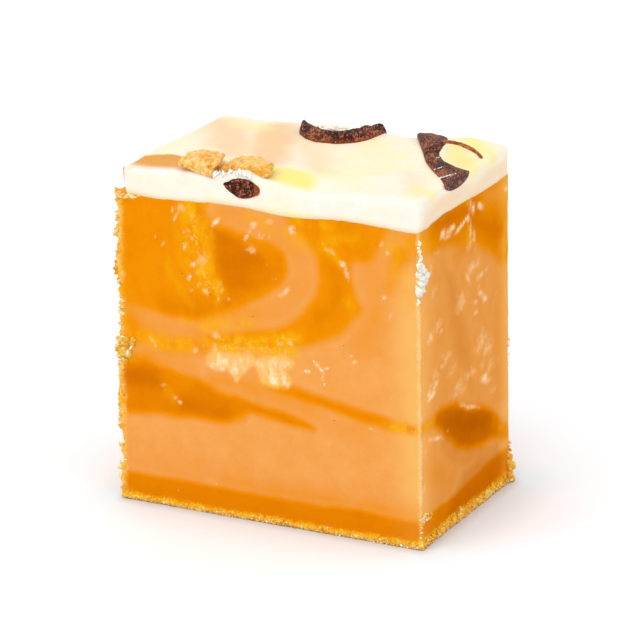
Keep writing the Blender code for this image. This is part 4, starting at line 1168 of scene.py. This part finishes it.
def crumb_material(effects):
    n = Finish("fudge crumbs")
    grain = n.group(effects["grain"], Fine_size=0.00015, Broad_size=0.0006)
    colour = n.ramp(n.mask("tone"), ((0.0, (0.76, 0.27, 0.004)), (0.45, (0.84, 0.44, 0.05)), (0.8, (0.90, 0.72, 0.36)), (1.0, (0.96, 0.94, 0.86))))
    normal = n.add("ShaderNodeBump", {"Height": grain["Height"], "Strength": 0.4, "Distance": 0.08 * MM}).outputs[0]
    return n.done(
        Base_Color=colour, Roughness=0.5, Normal=normal, Specular_IOR_Level=0.1, Subsurface_Weight=0.2,
        Subsurface_Radius=(1.0, 0.5, 0.15), Subsurface_Scale=0.4 * MM)


# ---------------------------------------------------------------------------------------------------------------
# Crumbs and flecks.
# ---------------------------------------------------------------------------------------------------------------


class Grains:
    """Small uneven grains joined into one piece, each with its own tone from caramel (0) to white (1)."""

    def __init__(self, seed):
        self.chance = random.Random(seed)
        self.places, self.shapes, self.tones = [], [], []

    def add(self, place, size, tone, flat=None, long=1.0, turn=None, thick=0.24):
        """A grain of about this size. flat is the face direction that a flake lies against."""
        chance = self.chance
        if flat is None:
            axis = Vector([chance.gauss(0, 1) for _ in range(3)]).normalized()
            turning = Matrix.Rotation(chance.uniform(0.0, 6.28), 3, axis)
            sizes = [size / 2.0 * chance.uniform(0.6, 1.25) for _ in range(3)]
        else:
            spin = chance.uniform(0.0, 6.28) if turn is None else turn
            turning = Vector(flat).to_track_quat("Z", "Y").to_matrix() @ Matrix.Rotation(spin, 3, "Z")
            sizes = [size / 2.0 * long, size / 2.0 * chance.uniform(0.5, 0.9), size / 2.0 * thick]
        self.places.append(tuple(place))
        self.shapes.append(np.array(turning @ Matrix.Diagonal(sizes)))
        self.tones.append(min(1.0, max(0.0, tone)))

    def hand_in(self, name, slot_name, mat):
        bm = bmesh.new()
        bmesh.ops.create_icosphere(bm, subdivisions=1, radius=1.0)
        unit = np.array([vert.co for vert in bm.verts])
        parts = (len(bm.verts), len(bm.edges), len(bm.faces))
        made, wanted = 1, len(self.places)
        while made < wanted:
            more = min(made, wanted - made)
            verts, edges, faces = (more * part for part in parts)
            bmesh.ops.duplicate(bm, geom=bm.verts[:verts] + bm.edges[:edges] + bm.faces[:faces])
            made += more
        obj = mesh_object(name, bm)
        uneven = np.random.default_rng(wanted).uniform(0.72, 1.25, (wanted, len(unit), 1))
        turned = np.einsum("gvi,gji->gvj", unit * uneven, np.array(self.shapes))
        points = (np.array(self.places)[:, None] + turned).reshape(-1, 3)
        low = np.array(CAD_LOW) - (SPREAD_LIMIT, 0.7 * MM, 0.0)
        high = np.array(CAD_HIGH) + (0.9 * MM, 0.7 * MM, 0.3 * MM)
        set_points(obj.data, np.clip(points, low, high))
        set_mask(obj, "tone", np.repeat(self.tones, len(unit)))
        hand_in(obj, slot_name, mat)


FRONT_LOOK, RIGHT_LOOK = (0, -1, 0), (1, 0, 0)

# Where the left front edge is torn: (height, how far the flakes crowd, their tone).
TORN_PLACES = (
    (38.9, 0.5, 0.6), (36.2, 0.35, 0.35), (34.2, 0.3, 0.5), (31.6, 0.35, 0.5), (29.9, 0.45, 0.4), (28.4, 0.3, 0.5),
    (25.8, 0.4, 0.8), (23.4, 0.5, 0.6), (20.8, 0.7, 0.9), (19.2, 0.8, 0.8), (17.6, 0.6, 0.7), (15.7, 0.5, 0.6),
    (13.8, 0.4, 0.6), (11.2, 0.5, 0.5), (9.6, 0.5, 0.4), (6.6, 0.6, 0.9), (4.4, 0.5, 0.9), (2.9, 0.4, 0.7),
    (1.2, 0.3, 0.6))


def edge_crumbs(mat):
    """Crumbs along the foot of the block, up its torn left front edge and at its corners."""
    grains = Grains(7)
    chance = grains.chance
    for _ in range(1500):
        z = abs(chance.gauss(0.0, 0.26)) * MM + 0.08 * MM
        x = chance.uniform(left_face(z), right_face(z))
        front = chance.random() < 0.75
        y = (-1.0 if front else 1.0) * (HALF_DEPTH + chance.uniform(-0.05, 0.13) * MM)
        grains.add((x, y, z), chance.uniform(0.14, 0.36) * MM, chance.gauss(0.42, 0.25))
    for _ in range(1100):
        z = abs(chance.gauss(0.0, 0.45)) * MM + 0.08 * MM
        right = chance.random() < 0.75
        x = right_face(z) + chance.uniform(-0.12, 0.16) * MM if right else left_face(z) - chance.uniform(-0.1, 0.1) * MM
        y = chance.uniform(-HALF_DEPTH, HALF_DEPTH)
        grains.add((x, y, z), chance.uniform(0.18, 0.5) * MM, chance.gauss(0.40, 0.2))
    for centre, crowd, tone in TORN_PLACES:
        for _ in range(int(13 * crowd) + 2):
            z = chance.gauss(centre, 0.5) * MM
            out = chance.uniform(-0.6, 0.15) * MM
            y = -HALF_DEPTH + abs(chance.gauss(0.0, 0.35)) * MM - 0.02 * MM
            look = (chance.gauss(0, 0.4), -1.0, chance.gauss(0, 0.4))
            grains.add((left_face(z) - out, y, z), chance.uniform(0.45, 1.05) * MM, chance.gauss(tone - 0.15, 0.18), look,
                       chance.uniform(0.9, 1.6), math.radians(chance.gauss(0, 40)), 0.22)
    for _ in range(45):
        z, x = chance.gauss(19.6, 1.0) * MM, -HALF_WIDTH + chance.gauss(-0.1, 0.6) * MM
        grains.add((max(x, left_face(z)), -HALF_DEPTH - 0.02 * MM, z), chance.uniform(0.5, 1.2) * MM,
                   chance.gauss(0.45, 0.2), FRONT_LOOK, 1.4, chance.gauss(0.0, 0.7), 0.2)
    for _ in range(26):
        out = abs(chance.gauss(0.0, 0.7)) * chance.choice((-0.7, 1.5))
        z = (39.15 + 0.06 * out - abs(chance.gauss(0.0, 0.2))) * MM
        grains.add((-HALF_WIDTH + out * MM, -HALF_DEPTH + 0.02 * MM, z), chance.uniform(0.3, 0.7) * MM,
                   chance.gauss(0.60, 0.15), FRONT_LOOK, 1.3, chance.gauss(0, 0.4), 0.25)
    for _ in range(30):
        z = chance.choice((chance.uniform(0.3, 4.0), chance.uniform(28.0, 38.8))) * MM
        x, y = right_face(z) + chance.uniform(-0.15, 0.05) * MM, -HALF_DEPTH + chance.uniform(-0.05, 0.15) * MM
        grains.add((x, y, z), chance.uniform(0.12, 0.3) * MM, chance.gauss(0.75, 0.15))
    for _ in range(120):
        z = abs(chance.gauss(0.0, 1.6)) * MM + 0.1 * MM
        out = chance.uniform(-0.2, 0.5) * (1.0 - 0.15 * z / MM)
        x, y = right_face(z) + out * MM, HALF_DEPTH + chance.uniform(-0.6, 0.3) * MM
        grains.add((x, y, z), chance.uniform(0.4, 1.0) * MM, chance.gauss(0.36, 0.15))
    for centre_z, count in ((18.3, 22), (16.0, 8)):
        for _ in range(count):
            z = chance.gauss(centre_z, 0.4) * MM
            x, y = right_face(z) + chance.uniform(-0.1, 0.1) * MM, HALF_DEPTH + chance.uniform(-0.5, 0.2) * MM
            grains.add((x, y, z), chance.uniform(0.2, 0.45) * MM, 0.9)
    for _ in range(70):
        z = chance.gauss(3.7, 0.3) * MM
        y = -HALF_DEPTH + abs(chance.gauss(0.4, 0.9)) * MM
        grains.add((right_face(z) + 0.04 * MM, y, z), chance.uniform(0.15, 0.4) * MM, chance.gauss(0.6, 0.2))
    grains.hand_in("edge_crumbs", "marbled_fudge", mat)


def sugar_flecks(mat):
    """Tiny bright crystals in the pale spots of the cut faces."""
    grains = Grains(23)
    chance = grains.chance
    for across, height, length, width, slant, amount in FRONT_SPOTS:
        turn = math.radians(slant)
        for _ in range(int(5 * max(0.0, amount - 0.55) * (1.0 + length)) + (amount > 0.8)):
            along, aside = chance.gauss(0.0, 0.25) * length, chance.gauss(0.0, 0.25) * width
            u = across + along * math.cos(turn) - aside * math.sin(turn)
            z = height + along * math.sin(turn) + aside * math.cos(turn)
            place = (u * MM - HALF_WIDTH, -HALF_DEPTH - 0.01 * MM, z * MM)
            grains.add(place, chance.uniform(0.08, 0.2) * MM, chance.uniform(0.75, 1.0), FRONT_LOOK,
                       chance.uniform(1.0, 1.8), turn + chance.gauss(0.0, 0.4), 0.5)
    for across, height, length, width, slant, amount in SIDE_SPOTS:
        turn = math.radians(slant)
        for _ in range(int(5 * max(0.0, amount - 0.5) * (1.0 + length)) + (amount > 0.8)):
            along, aside = chance.gauss(0.0, 0.25) * length, chance.gauss(0.0, 0.25) * width
            v = across + along * math.cos(turn) - aside * math.sin(turn)
            z = height + along * math.sin(turn) + aside * math.cos(turn)
            place = (right_face(z * MM) + 0.01 * MM, v * MM - HALF_DEPTH, z * MM)
            grains.add(place, chance.uniform(0.10, 0.28) * MM, chance.uniform(0.6, 0.9), RIGHT_LOOK,
                       chance.uniform(1.0, 1.8), turn + chance.gauss(0.0, 0.4), 0.5)
    grains.hand_in("sugar_flecks", "marbled_fudge", mat)


DARK_SPECKS = (
    (17.5, 26.1, 0.30), (17.7, 26.2, 0.2), (22.5, 13.6, 0.40), (22.3, 13.5, 0.25), (8.0, 30.2, 0.15),
    (29.6, 24.2, 0.15), (11.9, 28.1, 0.15), (28.4, 14.6, 0.15))


def dark_specks(mat):
    """Specks of burnt sugar in the front face."""
    grains = Grains(29)
    for across, height, size in DARK_SPECKS:
        grains.add((across * MM - HALF_WIDTH, -HALF_DEPTH - 0.01 * MM, height * MM), size * MM, 0.0, FRONT_LOOK, 1.4)
    grains.hand_in("dark_specks", "dark_chocolate", mat)


def corner_flake(mat):
    """White flakes lifted by the knife along the near upright edge."""
    grains = Grains(31)
    chance = grains.chance
    for _ in range(34):
        z = chance.uniform(32.0, 35.2)
        bulge = max(0.0, 1.0 - ((z - 33.6) / 1.9) ** 2)
        y = -HALF_DEPTH + chance.uniform(0.0, 1.9 * bulge) * MM
        x = right_face(z * MM) + chance.uniform(-0.03, 0.06) * MM
        look = (1.0, chance.gauss(-0.5, 0.3), chance.gauss(0.6, 0.3))
        grains.add((x, y, z * MM), chance.uniform(0.9, 1.5) * MM, chance.uniform(0.92, 1.0), look, 1.1, None, 0.12)
    for y, z, size in ((0.3, 37.8, 0.5), (0.2, 36.9, 0.6), (0.7, 36.2, 0.6), (1.0, 35.7, 0.5), (0.4, 35.4, 0.5),
                       (0.2, 30.8, 0.35)):
        for _ in range(4):
            place = (
                right_face(z * MM) + chance.uniform(-0.1, 0.05) * MM,
                -HALF_DEPTH + (y + chance.gauss(0.0, 0.2)) * MM, (z + chance.gauss(0, 0.2)) * MM)
            grains.add(place, size * chance.uniform(0.6, 1.1) * MM, 0.95)
    grains.hand_in("corner_flakes", "marbled_fudge", mat)


def topping_chips(mat):
    """Chips of white chocolate thrown up round the dark swirls and the toffee."""
    grains = Grains(43)
    chance = grains.chance
    for centre, spread, count in (
        ((-2.4, 8.8), (0.7, 0.4), 16), ((-0.9, 9.9), (0.8, 0.5), 16), ((0.4, 12.0), (0.5, 0.6), 12),
    ):
        for _ in range(count):
            x, y = (c + chance.gauss(0, 1) * s for c, s in zip(centre, spread))
            z = icing_top(x * MM, y * MM) + chance.uniform(0.2, 0.75) * MM
            grains.add((x * MM, y * MM, z), chance.uniform(0.2, 0.6) * MM, chance.uniform(0.9, 1.0))
    for (x, y), reach, count in (((14.0, 3.2), 0.25, 8), ((15.9, -0.6), 0.3, 8), ((18.3, -3.4), 0.7, 14)):
        for _ in range(count):
            along = chance.gauss(0.0, 1.0) * reach
            place = ((x + 0.45 * along) * MM, (y + 1.5 * along + chance.gauss(0.0, 0.3)) * MM)
            z = icing_top(*place) + 0.52 * MM
            grains.add((*place, z), chance.uniform(0.14, 0.36) * MM, 1.0, (0.0, -0.3, 1.0), 1.6, 0.95, 0.3)
    for _ in range(40):
        x = chance.uniform(-8.4, -2.6)
        y = -13.22 + abs(chance.gauss(0.0, 0.25))
        z = icing_top(x * MM, y * MM) + chance.uniform(-0.35, 0.0) * MM
        look = (chance.gauss(0, 0.2), -1.0, chance.gauss(0.3, 0.2))
        lean = chance.gauss(1.2 + 0.12 * (x + 5.4), 0.5)
        grains.add((x * MM, y * MM, z), chance.uniform(0.35, 0.85) * MM, 1.0, look, 1.5, lean, 0.12)
    grains.hand_in("white_chips", "white_chocolate", mat)


def chip_material(effects):
    n = Finish("white chocolate chips")
    grain = n.group(effects["grain"], Fine_size=0.0003, Broad_size=0.001)
    normal = n.add("ShaderNodeBump", {"Height": grain["Height"], "Strength": 0.3, "Distance": 0.1 * MM}).outputs[0]
    return n.done(
        Base_Color=(0.93, 0.89, 0.80), Roughness=0.4, Normal=normal, Specular_IOR_Level=0.2, Subsurface_Weight=0.2,
        Subsurface_Radius=(1.0, 0.8, 0.5), Subsurface_Scale=0.5 * MM)


# ---------------------------------------------------------------------------------------------------------------
# Room, lights and camera.
# ---------------------------------------------------------------------------------------------------------------

AIM = Vector((0.0, 0.0, 22.2 * MM))
CAMERA_DISTANCE = 437.2 * MM
CAMERA_TURN = math.radians(26.13)
CAMERA_RISE = math.radians(17.83)
CAMERA_LENS = 200.25


def floor():
    bm = bmesh.new()
    bmesh.ops.create_grid(bm, x_segments=1, y_segments=1, size=6.0)
    obj = mesh_object("floor", bm)
    n = Finish("pale floor")
    apart = n.add("ShaderNodeSeparateXYZ", {"Vector": n.place()}).outputs
    aside = n.maths("MAXIMUM", n.maths("SUBTRACT", n.maths("ABSOLUTE", apart["X"]), HALF_WIDTH), 0.0)
    ahead = n.maths("MAXIMUM", n.maths("SUBTRACT", n.maths("ABSOLUTE", apart["Y"]), HALF_DEPTH), 0.0)
    away = n.maths("SQRT", n.maths("MULTIPLY_ADD", aside, aside, n.times(ahead, ahead)))
    # Painted contact shadow: the floor is darker next to the block's footprint and pales to its own colour within 9 mm.
    colour = n.mix(n.band(away, 0.0, 2.2 * MM), (0.62, 0.62, 0.66), (0.75, 0.83, 0.87))
    colour = n.mix(n.band(away, 0.8 * MM, 9.0 * MM), colour, (0.88, 0.90, 0.93))
    obj.data.materials.append(n.done(Base_Color=colour, Roughness=0.7))


def aimed(obj, place, target):
    obj.location = place
    obj.rotation_euler = (target - place).to_track_quat("-Z", "Y").to_euler()
    bpy.context.scene.collection.objects.link(obj)


def sun(name, direction, strength, spread):
    data = bpy.data.lights.new(name, "SUN")
    data.energy = strength
    data.angle = math.radians(spread)
    aimed(bpy.data.objects.new(name, data), Vector(direction), Vector((0.0, 0.0, 0.0)))


def studio():
    floor()
    sun("key", (-0.3, -1.0, 1.5), 1.1, 60.0)
    sun("side", (1.0, -0.2, 0.7), 0.33, 70.0)
    world = bpy.data.worlds.new("studio")
    world.use_nodes = True
    world.node_tree.nodes["Background"].inputs["Color"].default_value = (1.0, 1.0, 1.0, 1.0)
    world.node_tree.nodes["Background"].inputs["Strength"].default_value = 0.95
    bpy.context.scene.world = world
    bpy.context.scene.view_settings.view_transform = "Standard"


def camera():
    data = bpy.data.cameras.new("camera")
    data.lens = CAMERA_LENS
    data.clip_start = 0.01
    obj = bpy.data.objects.new("camera", data)
    direction = Vector((
        math.sin(CAMERA_TURN) * math.cos(CAMERA_RISE), -math.cos(CAMERA_TURN) * math.cos(CAMERA_RISE),
        math.sin(CAMERA_RISE)))
    aimed(obj, AIM + CAMERA_DISTANCE * direction, AIM)
    bpy.context.scene.camera = obj


def main():
    effects = {"grain": grain_effect(), "specks": speck_effect()}
    fudge_block(fudge_material(effects))
    icing(icing_material(effects))
    dark = chocolate_material(effects)
    toffee = toffee_material(effects)
    chocolate_curl("curl_back", CURL_BACK, 0.95 * MM, 1.0 * MM, 0.35, dark, "chocolate_curl_back")
    chocolate_curl("curl_right", CURL_RIGHT, 0.55 * MM, 1.1 * MM, 0.0, dark, "chocolate_curl_right")
    chocolate_curl("curl_tail", CURL_TAIL, 0.32 * MM, 0.3 * MM, 0.0, chocolate_thread_material(effects))
    chunk(dark)
    shard("toffee_piece_left", "toffee_left", SHARD_LEFT, -13.3, 4.6, 0.1, -1.2, 3, toffee)
    shard("toffee_piece_right", "toffee_right", SHARD_RIGHT, -12.3, 3.8, 0.25, -0.6, 8, toffee)
    crumbs = crumb_material(effects)
    edge_crumbs(crumbs)
    sugar_flecks(crumbs)
    dark_specks(dark)
    corner_flake(crumbs)
    topping_chips(chip_material(effects))
    studio()
    camera()


main()
